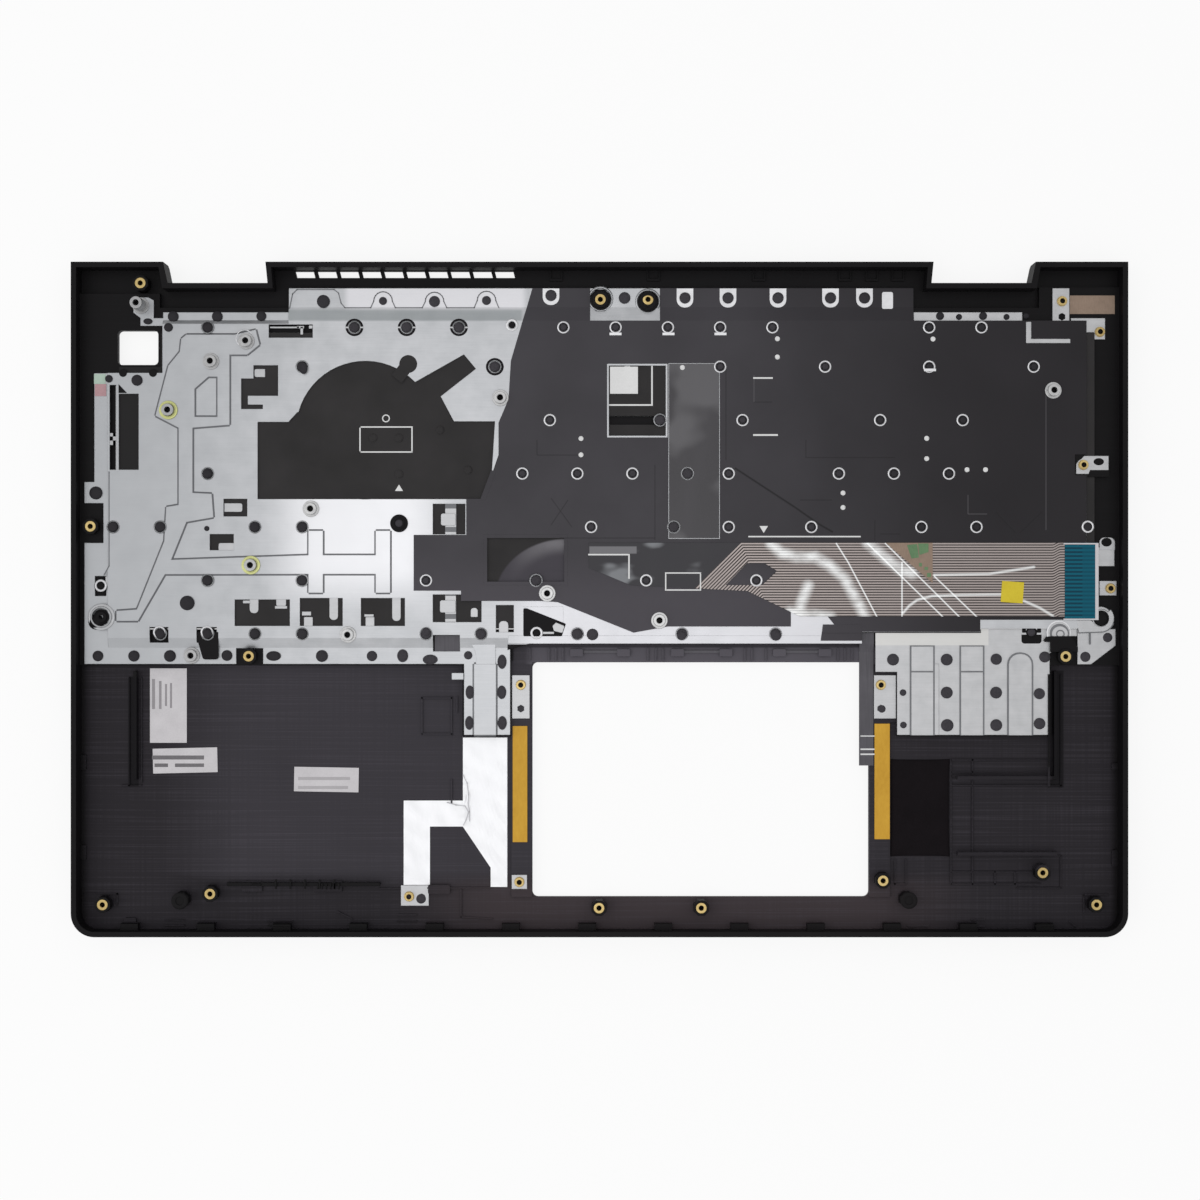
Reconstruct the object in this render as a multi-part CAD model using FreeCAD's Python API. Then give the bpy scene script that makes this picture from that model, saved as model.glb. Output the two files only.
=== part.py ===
import FreeCAD
import Part
import math
import os

# Palm rest of a 15.6-inch laptop with its keyboard, lying on its user face.
# Lengths are in millimetres. Seen from the open inside, +X is right and +Y is towards the hinges.
# +Z is up out of the tray, and the origin is the middle of the footprint on the user face.

V = FreeCAD.Vector

# Key grid
KEY_PITCH_X = 18.75
KEY_PITCH_Y = 18.2
FUNCTION_PITCH_Y = 13.4
PAD_PITCH_X = 16.1
ESCAPE_WIDTH = 22.7
KEY_WEB = 3.0
KEY_CLEARANCE = 0.4
KEY_TAPER = 0.5
KEY_HEIGHT = 1.9
KEY_RECESS = 0.3
KEY_TRAVEL = 1.3
KEY_STOP_GAP = 0.1
HALF_KEY_WEB = 1.4

# Case
SIDE_MARGIN_LEFT = 13.55
SIDE_MARGIN_RIGHT = 8.65
REAR_MARGIN = 21.8
WALL = 1.8
FLOOR = 1.6
RIM_HEIGHT = 8.0
FRONT_CORNER_RADIUS = 8.0
EDGE_BEVEL = 1.0
WELL_DEPTH = 1.2
WELL_MARGIN = 1.0

# Touchpad and power-button openings
TOUCHPAD_WIDTH = 115.3
TOUCHPAD_DEPTH = 80.4
TOUCHPAD_REAR_GAP = 9.8
TOUCHPAD_FRONT_STRIP = 12.6
TOUCHPAD_RADIUS = 2.0
POWER_SIDE_WEB = 1.1
POWER_END_WEB = 0.8
POWER_RADIUS = 1.5

# Hinge notches, measured from the sides of the case
NOTCH_OFFSET = 30.9
NOTCH_WIDTH = 34.9
NOTCH_DEPTH = 7.2
NOTCH_OUTER_SLANT = 1.9
NOTCH_INNER_SLANT = 0.9

# Vent slots in the rear edge
VENT_COUNT = 10
VENT_PITCH = 7.6
VENT_LENGTH = 6.3
VENT_WIDTH = 2.3
VENT_SLANT = 0.6
VENT_REAR_OFFSET = 2.0
VENT_START = -3.0

# Sheets of the keyboard, from the deck up
MEMBRANE_THICKNESS = 0.25
BASE_THICKNESS = 0.4
BACKLIGHT_THICKNESS = 0.35
SHEET_INSET = 1.8
PLATE_THICKNESS = 0.5
EMBOSS = 0.3
FILM_THICKNESS = 0.2
RIBBON_THICKNESS = 0.2
TAPE_THICKNESS = 0.15
FOIL_THICKNESS = 0.15
ADHESIVE_THICKNESS = 0.3
PAD_THICKNESS = 0.8

# Folds of the support plate, measured out from the key field
REAR_FLANGE_EDGE = 13.5
REAR_FOLD_FOOT = 7.0
REAR_FOLD_TOP = 2.3
CORNER_FLANGE_EDGE = 5.3
CORNER_FOLD_FOOT = 2.6
CORNER_FOLD_TOP = 1.2
FRONT_FOLD_TOP = 1.4
FRONT_FOLD_FOOT = 4.8
FRONT_FLANGE_EDGE = 10.3
STRIP_FRONT = 34.5
SIDE_FOLD = 1.9
DECK_EDGE_MARGIN = 0.5

# Heat stakes of the cover
STAKE_RADIUS = 1.3
STAKE_GAP = 0.2
STAKE_HEAD = 0.7
STAKE_SIDES = 6
FILM_HOLE_RADIUS = 2.1
RELIEF_REACH = 42.0

# Bosses, inserts, stand-offs and press nuts
BOSS_SIDES = 8
STANDOFF_SIDES = 6
NUT_SIDES = 6
BOSS_RADIUS = 2.8
BOSS_HEIGHT = 2.4
INSERT_RADIUS = 1.9
INSERT_BORE = 0.85
INSERT_LENGTH = 3.0
INSERT_GAP = 0.05
STANDOFF_RADIUS = 2.3
STANDOFF_BORE = 1.0
STANDOFF_HEIGHT = 1.8
TALL_STANDOFF_HEIGHT = 6.5
NUT_RADIUS = 1.7
NUT_BORE = 0.85
NUT_HEIGHT = 0.9
TAB_HOLE_RADIUS = 1.3

# Ledge round the touchpad opening
LEDGE_RISE = 0.8
LEDGE_SIDE = 7.2
LEDGE_SIDE_WIDE = 9.3
LEDGE_REAR = 6.5
LEDGE_WIDE_LENGTH = 20.5

# Domes under the keys
DOME_FOOT = 2.6
DOME_TOP = 1.6
DOME_GAP = 0.05

# Ribs on the inside of the cover
RIB_THICKNESS = 1.2
RIB_HEIGHT = 2.2
HOOK_LENGTH = 6.0
HOOK_DEPTH = 2.2
HOOK_RISE = 3.6
HOOK_PITCH = 26.0

# Rows of the main key block from the rear, in key pitches, from the user's left
NUMBER_ROW = [("key_backquote", 1)] + [("letter_keys", 1)] * 12 + [("key_backspace", 1.5)]
TAB_ROW = [("key_tab", 1.5)] + [("letter_keys", 1)] * 12 + [("key_backslash", 1)]
HOME_ROW = [("key_caps_lock", 1.75)] + [("letter_keys", 1)] * 11 + [("key_enter", 1.75)]
SHIFT_ROW = [("key_left_shift", 2.25)] + [("letter_keys", 1)] * 10 + [("key_right_shift", 2.25)]
SPACE_ROW = [
    ("key_left_control", 1.25),
    ("key_layer", 1),
    ("key_system", 1),
    ("key_left_alt", 1),
    ("key_space", 5.25),
    ("key_right_alt", 1),
    ("key_right_control", 1),
    ("key_arrow_left", 1),
    ("arrow_pair", 1),
    ("key_arrow_right", 1),
]
MAIN_ROWS = [NUMBER_ROW, TAB_ROW, HOME_ROW, SHIFT_ROW, SPACE_ROW]
FUNCTION_KEYS = 13
PAD_COLUMNS = 4
MAIN_PITCHES = sum(width for name, width in NUMBER_ROW)

# Overall sizes and datum lines that follow from them
MAIN_WIDTH = MAIN_PITCHES * KEY_PITCH_X
PAD_WIDTH = PAD_COLUMNS * PAD_PITCH_X
FUNCTION_PITCH_X = (MAIN_WIDTH - ESCAPE_WIDTH) / (FUNCTION_KEYS + 1)
FIELD_DEPTH = FUNCTION_PITCH_Y + len(MAIN_ROWS) * KEY_PITCH_Y
PALM_DEPTH = TOUCHPAD_REAR_GAP + TOUCHPAD_DEPTH + TOUCHPAD_FRONT_STRIP
CASE_WIDTH = SIDE_MARGIN_LEFT + PAD_WIDTH + MAIN_WIDTH + SIDE_MARGIN_RIGHT
CASE_DEPTH = REAR_MARGIN + FIELD_DEPTH + PALM_DEPTH
LEFT = -CASE_WIDTH / 2
RIGHT = CASE_WIDTH / 2
FRONT = -CASE_DEPTH / 2
REAR = CASE_DEPTH / 2
KEYS_LEFT = LEFT + SIDE_MARGIN_LEFT
KEYS_RIGHT = RIGHT - SIDE_MARGIN_RIGHT
PAD_EDGE = KEYS_LEFT + PAD_WIDTH
KEYS_REAR = REAR - REAR_MARGIN
KEYS_FRONT = KEYS_REAR - FIELD_DEPTH
TOUCHPAD_MIDDLE = (PAD_EDGE + KEYS_RIGHT) / 2
TOUCHPAD_LEFT = TOUCHPAD_MIDDLE - TOUCHPAD_WIDTH / 2
TOUCHPAD_RIGHT = TOUCHPAD_MIDDLE + TOUCHPAD_WIDTH / 2
TOUCHPAD_REAR = KEYS_FRONT - TOUCHPAD_REAR_GAP
TOUCHPAD_FRONT = TOUCHPAD_REAR - TOUCHPAD_DEPTH

# Lines between the key rows, from the rear to the front
ROW_LINES = [KEYS_REAR] + [
    KEYS_REAR - FUNCTION_PITCH_Y - row * KEY_PITCH_Y for row in range(len(MAIN_ROWS) + 1)
]

# Heights
KEY_BASE = KEY_RECESS + KEY_HEIGHT
DECK_TOP = KEY_BASE + KEY_TRAVEL + KEY_STOP_GAP
MEMBRANE_TOP = DECK_TOP + MEMBRANE_THICKNESS
BASE_TOP = MEMBRANE_TOP + BASE_THICKNESS
PLATE_BOTTOM = BASE_TOP + BACKLIGHT_THICKNESS
PLATE_TOP = PLATE_BOTTOM + PLATE_THICKNESS
FLANGE_TOP = DECK_TOP + PLATE_THICKNESS
FILM_TOP = PLATE_TOP + FILM_THICKNESS
RIBBON_TOP = FILM_TOP + RIBBON_THICKNESS
LEDGE_TOP = FLOOR + LEDGE_RISE
BOSS_TOP = DECK_TOP + BOSS_HEIGHT
ABOVE = RIM_HEIGHT + TALL_STANDOFF_HEIGHT
BELOW = -FLOOR


def box(x0, x1, y0, y1, z0, z1):
    return Part.makeBox(x1 - x0, y1 - y0, z1 - z0, V(x0, y0, z0))


def column(x0, x1, y0, y1):
    """A cutter over one rectangle of the plan, from below the part to above it."""
    return box(x0, x1, y0, y1, BELOW, ABOVE)


def plan_face(points, z):
    corners = [V(x, y, z) for x, y in points]
    return Part.Face(Part.makePolygon(corners + corners[:1]))


def prism(points, z0, z1):
    return plan_face(points, z0).extrude(V(0, 0, z1 - z0))


def cutter(points):
    return prism(points, BELOW, ABOVE)


def offset_points(points, x, y):
    return [(x + dx, y + dy) for dx, dy in points]


def post(x, y, radius, z0, z1, sides):
    """A regular prism, measured over its corners, with flats square to the axes."""
    turn = math.pi / sides
    angles = [turn + 2 * turn * side for side in range(sides)]
    points = [(x + radius * math.cos(a), y + radius * math.sin(a)) for a in angles]
    return prism(points, z0, z1)


def cylinder(x, y, radius, z0, z1):
    return Part.makeCylinder(radius, z1 - z0, V(x, y, z0))


def hollow_post(x, y, radius, bore, z0, z1, sides):
    return post(x, y, radius, z0, z1, sides).cut(post(x, y, bore, z0, z1, sides))


def upright_edges(shape):
    """The straight edges that stand parallel to Z."""
    found = []
    for edge in shape.Edges:
        low = edge.Vertexes[0].Point
        high = edge.Vertexes[-1].Point
        if abs(low.z - high.z) > abs(low.x - high.x) + abs(low.y - high.y):
            found.append(edge)
    return found


def rounded_box(x0, x1, y0, y1, z0, z1, radius):
    block = box(x0, x1, y0, y1, z0, z1)
    return block.makeFillet(radius, upright_edges(block))


def frustum(lower, upper):
    """A solid between two level rectangles, each (x0, x1, y0, y1, z)."""
    rings = []
    for x0, x1, y0, y1, z in (lower, upper):
        rings.append([V(x0, y0, z), V(x1, y0, z), V(x1, y1, z), V(x0, y1, z)])
    loops = list(rings)
    for side in range(4):
        after = (side + 1) % 4
        loops.append([rings[0][side], rings[0][after], rings[1][after], rings[1][side]])
    faces = [Part.Face(Part.makePolygon(loop + loop[:1])) for loop in loops]
    solid = Part.Solid(Part.Shell(faces))
    if solid.Volume < 0:
        solid.reverse()
    return solid


def folded_sheet(path, thickness, x0, x1):
    """A sheet along X whose lower side follows a path of (y, z) points."""
    lower = [V(x0, y, z) for y, z in path]
    upper = [V(x0, y, z + thickness) for y, z in reversed(path)]
    face = Part.Face(Part.makePolygon(lower + upper + lower[:1]))
    return face.extrude(V(x1 - x0, 0, 0))


def turned_plate(x0, x1, y0, y1, z, thickness, degrees):
    """A thin rectangle turned a little about its own middle."""
    plate = box(x0, x1, y0, y1, z, z + thickness)
    plate.rotate(V((x0 + x1) / 2, (y0 + y1) / 2, z), V(0, 0, 1), degrees)
    return plate


def group(solids):
    return Part.makeCompound(solids)


# Key cells, as (node, x0, x1, y0, y1)
def key_cells():
    cells = []
    rear, front = ROW_LINES[0], ROW_LINES[1]
    edge = KEYS_RIGHT - ESCAPE_WIDTH
    cells.append(("key_escape", edge, KEYS_RIGHT, front, rear))
    for place in range(FUNCTION_KEYS + 1):
        name = "function_keys" if place < FUNCTION_KEYS else "key_delete"
        right = edge - place * FUNCTION_PITCH_X
        cells.append((name, right - FUNCTION_PITCH_X, right, front, rear))
    for row, keys in enumerate(MAIN_ROWS):
        rear, front = ROW_LINES[row + 1], ROW_LINES[row + 2]
        right = KEYS_RIGHT
        for name, width in keys:
            left = right - width * KEY_PITCH_X
            if name == "arrow_pair":
                half = (rear + front) / 2
                inset = (KEY_WEB - HALF_KEY_WEB) / 2
                cells.append(("key_arrow_up", left, right, half - inset, rear))
                cells.append(("key_arrow_down", left, right, front, half + inset))
            else:
                cells.append((name, left, right, front, rear))
            right = left
    return cells + pad_cells()


def pad_cells():
    """Number pad, whose last function place is left free for the power button."""
    lines = [PAD_EDGE - column_index * PAD_PITCH_X for column_index in range(PAD_COLUMNS + 1)]
    cells = []
    for place in range(PAD_COLUMNS - 1):
        cells.append(("function_keys", lines[place + 1], lines[place], ROW_LINES[1], ROW_LINES[0]))
        for row in (2, 3, 4):
            rear, front = ROW_LINES[row], ROW_LINES[row + 1]
            cells.append(("pad_keys", lines[place + 1], lines[place], front, rear))
    for place in range(PAD_COLUMNS):
        cells.append(("pad_keys", lines[place + 1], lines[place], ROW_LINES[2], ROW_LINES[1]))
    cells.append(("key_pad_plus", lines[4], lines[3], ROW_LINES[4], ROW_LINES[2]))
    cells.append(("key_pad_enter", lines[4], lines[3], ROW_LINES[6], ROW_LINES[4]))
    cells.append(("key_pad_zero", lines[2], lines[0], ROW_LINES[6], ROW_LINES[5]))
    cells.append(("key_pad_point", lines[3], lines[2], ROW_LINES[6], ROW_LINES[5]))
    return cells


CELLS = key_cells()


def shrunk(cell, inset):
    name, x0, x1, y0, y1 = cell
    return x0 + inset, x1 - inset, y0 + inset, y1 - inset


# Heat stakes between the keys: places along each row line, in key pitches from the right edge
LINE_STAKES = {
    2: [2.5, 4, 6.5, 8, 10],
    3: [2.75, 3.75, 4.75, 6.75, 7.5, 8.5, 9.5, 10.5],
    4: [2.25, 3.25, 5.25, 6.75, 7.75, 9.25],
    5: [6.25, 8.25, 10.25, 12.25],
    6: [5.9, 7.6, 9.5, 11.25, 12.25],
}
# The same between the function keys, counted in function keys from the escape key
REAR_LINE_STAKES = [1, 2, 5, 6, 7, 8, 9, 11, 12, 13]
SECOND_LINE_STAKES = [0, 2, 6]
SECOND_LINE_PITCHES = [5, 11]
# The same in the number pad, counted in pad columns from the main block
PAD_LINE_STAKES = {0: [2], 1: [0], 3: [2], 4: [0, 1, 3, 4], 5: [0, 2], 6: [0, 1, 2, 3]}


def field_stakes():
    """Places of the stakes that rise through the raised middle of the support plate."""
    places = []
    first = KEYS_RIGHT - ESCAPE_WIDTH
    for count in REAR_LINE_STAKES:
        places.append((first - count * FUNCTION_PITCH_X, ROW_LINES[0]))
    for count in SECOND_LINE_STAKES:
        places.append((first - count * FUNCTION_PITCH_X, ROW_LINES[1]))
    for count in SECOND_LINE_PITCHES:
        places.append((KEYS_RIGHT - count * KEY_PITCH_X, ROW_LINES[1]))
    for line, pitches in LINE_STAKES.items():
        for count in pitches:
            places.append((KEYS_RIGHT - count * KEY_PITCH_X, ROW_LINES[line]))
    for line, columns in PAD_LINE_STAKES.items():
        for count in columns:
            places.append((PAD_EDGE - count * PAD_PITCH_X, ROW_LINES[line]))
    return places


FIELD_STAKES = field_stakes()


def film_holes(places):
    return [post(x, y, FILM_HOLE_RADIUS, BELOW, ABOVE, STAKE_SIDES) for x, y in places]


def punched_holes(places):
    """Square holes that let a stake through."""
    half = STAKE_RADIUS + STAKE_GAP
    return [column(x - half, x + half, y - half, y + half) for x, y in places]


def relief_slots(places):
    """Slots between the key rows, each round a run of stakes that stand close together."""
    half = STAKE_RADIUS + STAKE_GAP
    slots = []
    for line in sorted({y for x, y in places}):
        row = sorted(x for x, y in places if y == line)
        start = row[0]
        for here, after in zip(row, row[1:] + [None]):
            if after is None or after - here > RELIEF_REACH:
                slots.append(column(start - half, here + half, line - half, line + half))
                start = after
    return slots


# Threaded inserts for the screws of the bottom cover: pairs on one line along X
CORNER_INSERT_X = 10.1
CORNER_INSERT_Y = 10.6
EDGE_INSERT_SPACING = 34.8
EDGE_INSERT_Y = 3.1
REAR_INSERT_X = 101.6
REAR_INSERT_SPACING = 16.2
REAR_INSERT_Y = 9.4
REAR_PAIR = [
    (PAD_EDGE + REAR_INSERT_X, KEYS_REAR + REAR_INSERT_Y),
    (PAD_EDGE + REAR_INSERT_X + REAR_INSERT_SPACING, KEYS_REAR + REAR_INSERT_Y),
]
PAIRED_INSERTS = [
    (LEFT + CORNER_INSERT_X, FRONT + CORNER_INSERT_Y),
    (RIGHT - CORNER_INSERT_X, FRONT + CORNER_INSERT_Y),
    (TOUCHPAD_MIDDLE - EDGE_INSERT_SPACING, TOUCHPAD_FRONT - EDGE_INSERT_Y),
    (TOUCHPAD_MIDDLE, TOUCHPAD_FRONT - EDGE_INSERT_Y),
]
# Inserts that stand alone, each from the walls, key edges or opening that it stands by
HINGE_INSERT = (23.0, -6.8)
SIDE_INSERT = (6.0, 36.6)
FLANGE_INSERT = (46.3, -7.6)
PALM_INSERT = (46.7, 14.3)
OPENING_INSERT = (4.2, 6.2)
BAY_INSERT = (-28.4, 21.5)
LUG_INSERT = (-20.6, -7.7)
SINGLE_INSERTS = [
    (LEFT + HINGE_INSERT[0], REAR + HINGE_INSERT[1]),
    (LEFT + SIDE_INSERT[0], KEYS_FRONT + SIDE_INSERT[1]),
    (KEYS_LEFT + FLANGE_INSERT[0], KEYS_FRONT + FLANGE_INSERT[1]),
    (LEFT + PALM_INSERT[0], FRONT + PALM_INSERT[1]),
    (TOUCHPAD_RIGHT + OPENING_INSERT[0], TOUCHPAD_FRONT + OPENING_INSERT[1]),
    (RIGHT + BAY_INSERT[0], FRONT + BAY_INSERT[1]),
    (RIGHT + LUG_INSERT[0], KEYS_FRONT + LUG_INSERT[1]),
]
INSERTS = PAIRED_INSERTS + REAR_PAIR + SINGLE_INSERTS
# Plain bosses, which locate the bottom cover
LEFT_LOCATOR = (36.8, 12.2)
RIGHT_LOCATOR = (12.5, 12.2)
LOCATORS = [
    (LEFT + LEFT_LOCATOR[0], FRONT + LEFT_LOCATOR[1]),
    (TOUCHPAD_RIGHT + RIGHT_LOCATOR[0], FRONT + RIGHT_LOCATOR[1]),
]

# Clear room round a boss that comes up through the plate
BOSS_ROOM = 1.2


def hinge_notch(side, grow):
    """Slanted recess in the rear edge for one hinge, grown by a wall where asked."""
    outer = RIGHT - NOTCH_OFFSET + grow
    inner = RIGHT - NOTCH_OFFSET - NOTCH_WIDTH - grow
    floor_line = REAR - NOTCH_DEPTH - grow
    points = [
        (side * outer, REAR + WALL),
        (side * (outer - NOTCH_OUTER_SLANT), floor_line),
        (side * (inner - NOTCH_INNER_SLANT), floor_line),
        (side * inner, REAR + WALL),
    ]
    return cutter(points)


def case_block(inset, z0, z1):
    """The case plan, inset all round, with round corners at the front."""
    block = box(LEFT + inset, RIGHT - inset, FRONT + inset, REAR - inset, z0, z1)
    corners = [edge for edge in upright_edges(block) if edge.Vertexes[0].Point.y < 0]
    return block.makeFillet(FRONT_CORNER_RADIUS - inset, corners)


def outer_case():
    block = case_block(0, 0, RIM_HEIGHT)
    foot = [edge for edge in block.Edges if edge.BoundBox.ZMax < EDGE_BEVEL]
    return block.makeChamfer(EDGE_BEVEL, foot).cut([hinge_notch(-1, 0), hinge_notch(1, 0)])


# Deck: the raised inside of the cover that carries the keyboard and the support plate
DECK_FRONT = KEYS_FRONT - FRONT_FLANGE_EDGE - DECK_EDGE_MARGIN
DECK_MIDDLE_FRONT = TOUCHPAD_REAR + LEDGE_REAR
DECK_LOBE_FRONT = KEYS_FRONT - STRIP_FRONT - DECK_EDGE_MARGIN
DECK_REAR = KEYS_REAR + REAR_FOLD_FOOT
DECK_FLANGE_REAR = KEYS_REAR + REAR_FLANGE_EDGE + DECK_EDGE_MARGIN
STRIP_WIDTH = 16.0
STRIP_RIGHT = TOUCHPAD_LEFT - LEDGE_SIDE
STRIP_LEFT = STRIP_RIGHT - STRIP_WIDTH
BRACKET_WIDTH = 52.0
BRACKET_LEFT = TOUCHPAD_RIGHT + LEDGE_SIDE_WIDE
BRACKET_RIGHT = BRACKET_LEFT + BRACKET_WIDTH
PLATE_STEP_X = 4.7
PLATE_STEP = PAD_EDGE - PLATE_STEP_X
PLATE_CORNER_X = 63.5
PLATE_CORNER = KEYS_RIGHT - PLATE_CORNER_X
PLATE_INSET = 4.7
PLATE_RIGHT = KEYS_RIGHT - PLATE_INSET
CORNER_DECK = RIGHT - NOTCH_OFFSET + WALL


def deck_blocks():
    """Parts of the deck, cut out of the hollow of the tray."""
    low, high = BELOW, DECK_TOP
    return [
        box(LEFT, RIGHT, DECK_MIDDLE_FRONT, DECK_REAR, low, high),
        box(LEFT, STRIP_RIGHT, DECK_FRONT, DECK_MIDDLE_FRONT, low, high),
        box(BRACKET_LEFT, RIGHT, DECK_FRONT, DECK_MIDDLE_FRONT, low, high),
        box(STRIP_LEFT - DECK_EDGE_MARGIN, STRIP_RIGHT, DECK_LOBE_FRONT, DECK_FRONT, low, high),
        box(BRACKET_LEFT, BRACKET_RIGHT + DECK_EDGE_MARGIN, DECK_LOBE_FRONT, DECK_FRONT, low, high),
        box(PLATE_STEP - DECK_EDGE_MARGIN, PLATE_CORNER, DECK_REAR, DECK_FLANGE_REAR, low, high),
        box(LEFT, -CORNER_DECK, DECK_REAR, REAR - NOTCH_DEPTH - BOSS_RADIUS, low, high),
        box(CORNER_DECK, RIGHT, DECK_REAR, DECK_FLANGE_REAR, low, high),
    ]


def ledge_blocks():
    """Low ledge round the touchpad opening, up from the floor."""
    low, high = BELOW, LEDGE_TOP
    wide_front = TOUCHPAD_REAR - LEDGE_WIDE_LENGTH
    return [
        box(STRIP_RIGHT, TOUCHPAD_LEFT, TOUCHPAD_FRONT, DECK_MIDDLE_FRONT, low, high),
        box(TOUCHPAD_LEFT, TOUCHPAD_RIGHT, TOUCHPAD_REAR, DECK_MIDDLE_FRONT, low, high),
        box(TOUCHPAD_RIGHT, BRACKET_LEFT, wide_front, DECK_MIDDLE_FRONT, low, high),
        box(TOUCHPAD_RIGHT, TOUCHPAD_RIGHT + LEDGE_SIDE, TOUCHPAD_FRONT, wide_front, low, high),
    ]


# Ribs on the palm floor, as (x0, x1, y0, y1)
LEFT_RIB_OFFSET = 20.0
RIGHT_RIB_OFFSET = 24.0
SIDE_RIB_GAP = 2.0
SIDE_RIB_LENGTH = 37.0
FRONT_RIB_OFFSET = 16.6
FRONT_RIB_START = 52.0
FRONT_RIB_STOP = 52.0
PAD_RIB_START = 30.0
PAD_RIB_OFFSET = 27.0
LEFT_RIB_X = LEFT + LEFT_RIB_OFFSET
RIGHT_RIB_X = RIGHT - RIGHT_RIB_OFFSET
SIDE_RIB_REAR = DECK_FRONT - SIDE_RIB_GAP
SIDE_RIB_FRONT = SIDE_RIB_REAR - SIDE_RIB_LENGTH
FRONT_RIB_Y = FRONT + FRONT_RIB_OFFSET
FRONT_RIB_LEFT = LEFT + FRONT_RIB_START
FRONT_RIB_RIGHT = TOUCHPAD_LEFT - FRONT_RIB_STOP
PAD_RIB_LEFT = TOUCHPAD_RIGHT + PAD_RIB_START
PAD_RIB_REAR = SIDE_RIB_FRONT
PAD_RIB_FRONT = FRONT + PAD_RIB_OFFSET


def ribs():
    thin = RIB_THICKNESS
    places = [
        (LEFT_RIB_X, LEFT_RIB_X + thin, SIDE_RIB_FRONT, SIDE_RIB_REAR),
        (RIGHT_RIB_X, RIGHT_RIB_X + thin, SIDE_RIB_FRONT, SIDE_RIB_REAR),
        (FRONT_RIB_LEFT, FRONT_RIB_RIGHT, FRONT_RIB_Y, FRONT_RIB_Y + thin),
        (PAD_RIB_LEFT, RIGHT_RIB_X + thin, PAD_RIB_REAR, PAD_RIB_REAR + thin),
        (PAD_RIB_LEFT, RIGHT_RIB_X + thin, PAD_RIB_FRONT, PAD_RIB_FRONT + thin),
    ]
    return [box(x0, x1, y0, y1, FLOOR / 2, FLOOR + RIB_HEIGHT) for x0, x1, y0, y1 in places]


def wall_hooks():
    """Snap hooks along the front wall, clear of its round corners."""
    start = LEFT + 2 * FRONT_CORNER_RADIUS
    room = CASE_WIDTH - 4 * FRONT_CORNER_RADIUS - HOOK_LENGTH
    count = int(room // HOOK_PITCH) + 1
    y0 = FRONT + WALL / 2
    y1 = FRONT + WALL + HOOK_DEPTH
    hooks = []
    for place in range(count):
        x0 = start + place * HOOK_PITCH
        hooks.append(box(x0, x0 + HOOK_LENGTH, y0, y1, FLOOR / 2, FLOOR + HOOK_RISE))
    return hooks


def vent_slots():
    y1 = REAR - VENT_REAR_OFFSET
    y0 = y1 - VENT_WIDTH
    slots = []
    for place in range(VENT_COUNT):
        x0 = PAD_EDGE + VENT_START + place * VENT_PITCH
        x1 = x0 + VENT_LENGTH
        points = [(x0, y1), (x1, y1), (x1 + VENT_SLANT, y0), (x0 + VENT_SLANT, y0)]
        slots.append(cutter(points))
    return slots


POWER_LEFT = KEYS_LEFT + POWER_SIDE_WEB
POWER_RIGHT = KEYS_LEFT + PAD_PITCH_X - POWER_SIDE_WEB
POWER_FRONT = ROW_LINES[1] + POWER_END_WEB
POWER_REAR = ROW_LINES[0] - POWER_END_WEB


def opening_cutters():
    touchpad = rounded_box(
        TOUCHPAD_LEFT, TOUCHPAD_RIGHT, TOUCHPAD_FRONT, TOUCHPAD_REAR, BELOW, ABOVE, TOUCHPAD_RADIUS
    )
    power = rounded_box(POWER_LEFT, POWER_RIGHT, POWER_FRONT, POWER_REAR, BELOW, ABOVE, POWER_RADIUS)
    return [touchpad, power]


def key_windows():
    windows = []
    for cell in CELLS:
        x0, x1, y0, y1 = shrunk(cell, KEY_WEB / 2)
        windows.append(column(x0, x1, y0, y1))
    return windows


def stakes():
    """The moulded stakes, from inside the deck to above the sheet that they hold."""
    foot = DECK_TOP - FLOOR / 2
    top = PLATE_TOP + STAKE_HEAD
    return [post(x, y, STAKE_RADIUS, foot, top, STAKE_SIDES) for x, y in FIELD_STAKES]


def bosses():
    return [post(x, y, BOSS_RADIUS, FLOOR / 2, BOSS_TOP, BOSS_SIDES) for x, y in INSERTS + LOCATORS]


def insert_seats():
    seat = INSERT_RADIUS + INSERT_GAP
    return [post(x, y, seat, BOSS_TOP - INSERT_LENGTH, ABOVE, BOSS_SIDES) for x, y in INSERTS]


def palm_rest_cover():
    hollow = case_block(WALL, FLOOR, ABOVE)
    kept = [hinge_notch(-1, WALL), hinge_notch(1, WALL)] + deck_blocks() + ledge_blocks()
    shell = outer_case().cut(hollow.cut(kept))
    well = box(
        KEYS_LEFT - WELL_MARGIN,
        KEYS_RIGHT + WELL_MARGIN,
        KEYS_FRONT - WELL_MARGIN,
        KEYS_REAR + WELL_MARGIN,
        BELOW,
        WELL_DEPTH,
    )
    solid = shell.fuse(bosses() + ribs() + wall_hooks() + stakes())
    holes = [well] + opening_cutters() + key_windows() + vent_slots() + insert_seats()
    return solid.cut(holes)


def sheet(z0, z1):
    """One sheet of the keyboard, over all the keys, with room for the stakes and the power button."""
    blank = box(
        KEYS_LEFT + SHEET_INSET,
        KEYS_RIGHT - SHEET_INSET,
        KEYS_FRONT + SHEET_INSET,
        KEYS_REAR - SHEET_INSET,
        z0,
        z1,
    )
    inner = [(x, y) for x, y in FIELD_STAKES if y not in (ROW_LINES[0], ROW_LINES[-1])]
    power = column(LEFT, KEYS_LEFT + PAD_PITCH_X, ROW_LINES[1], REAR)
    return blank.cut(relief_slots(inner) + [power])


def key_cap(cell):
    x0, x1, y0, y1 = shrunk(cell, KEY_WEB / 2 + KEY_CLEARANCE)
    face = (x0 + KEY_TAPER, x1 - KEY_TAPER, y0 + KEY_TAPER, y1 - KEY_TAPER, KEY_RECESS)
    return frustum(face, (x0, x1, y0, y1, KEY_BASE))


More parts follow.
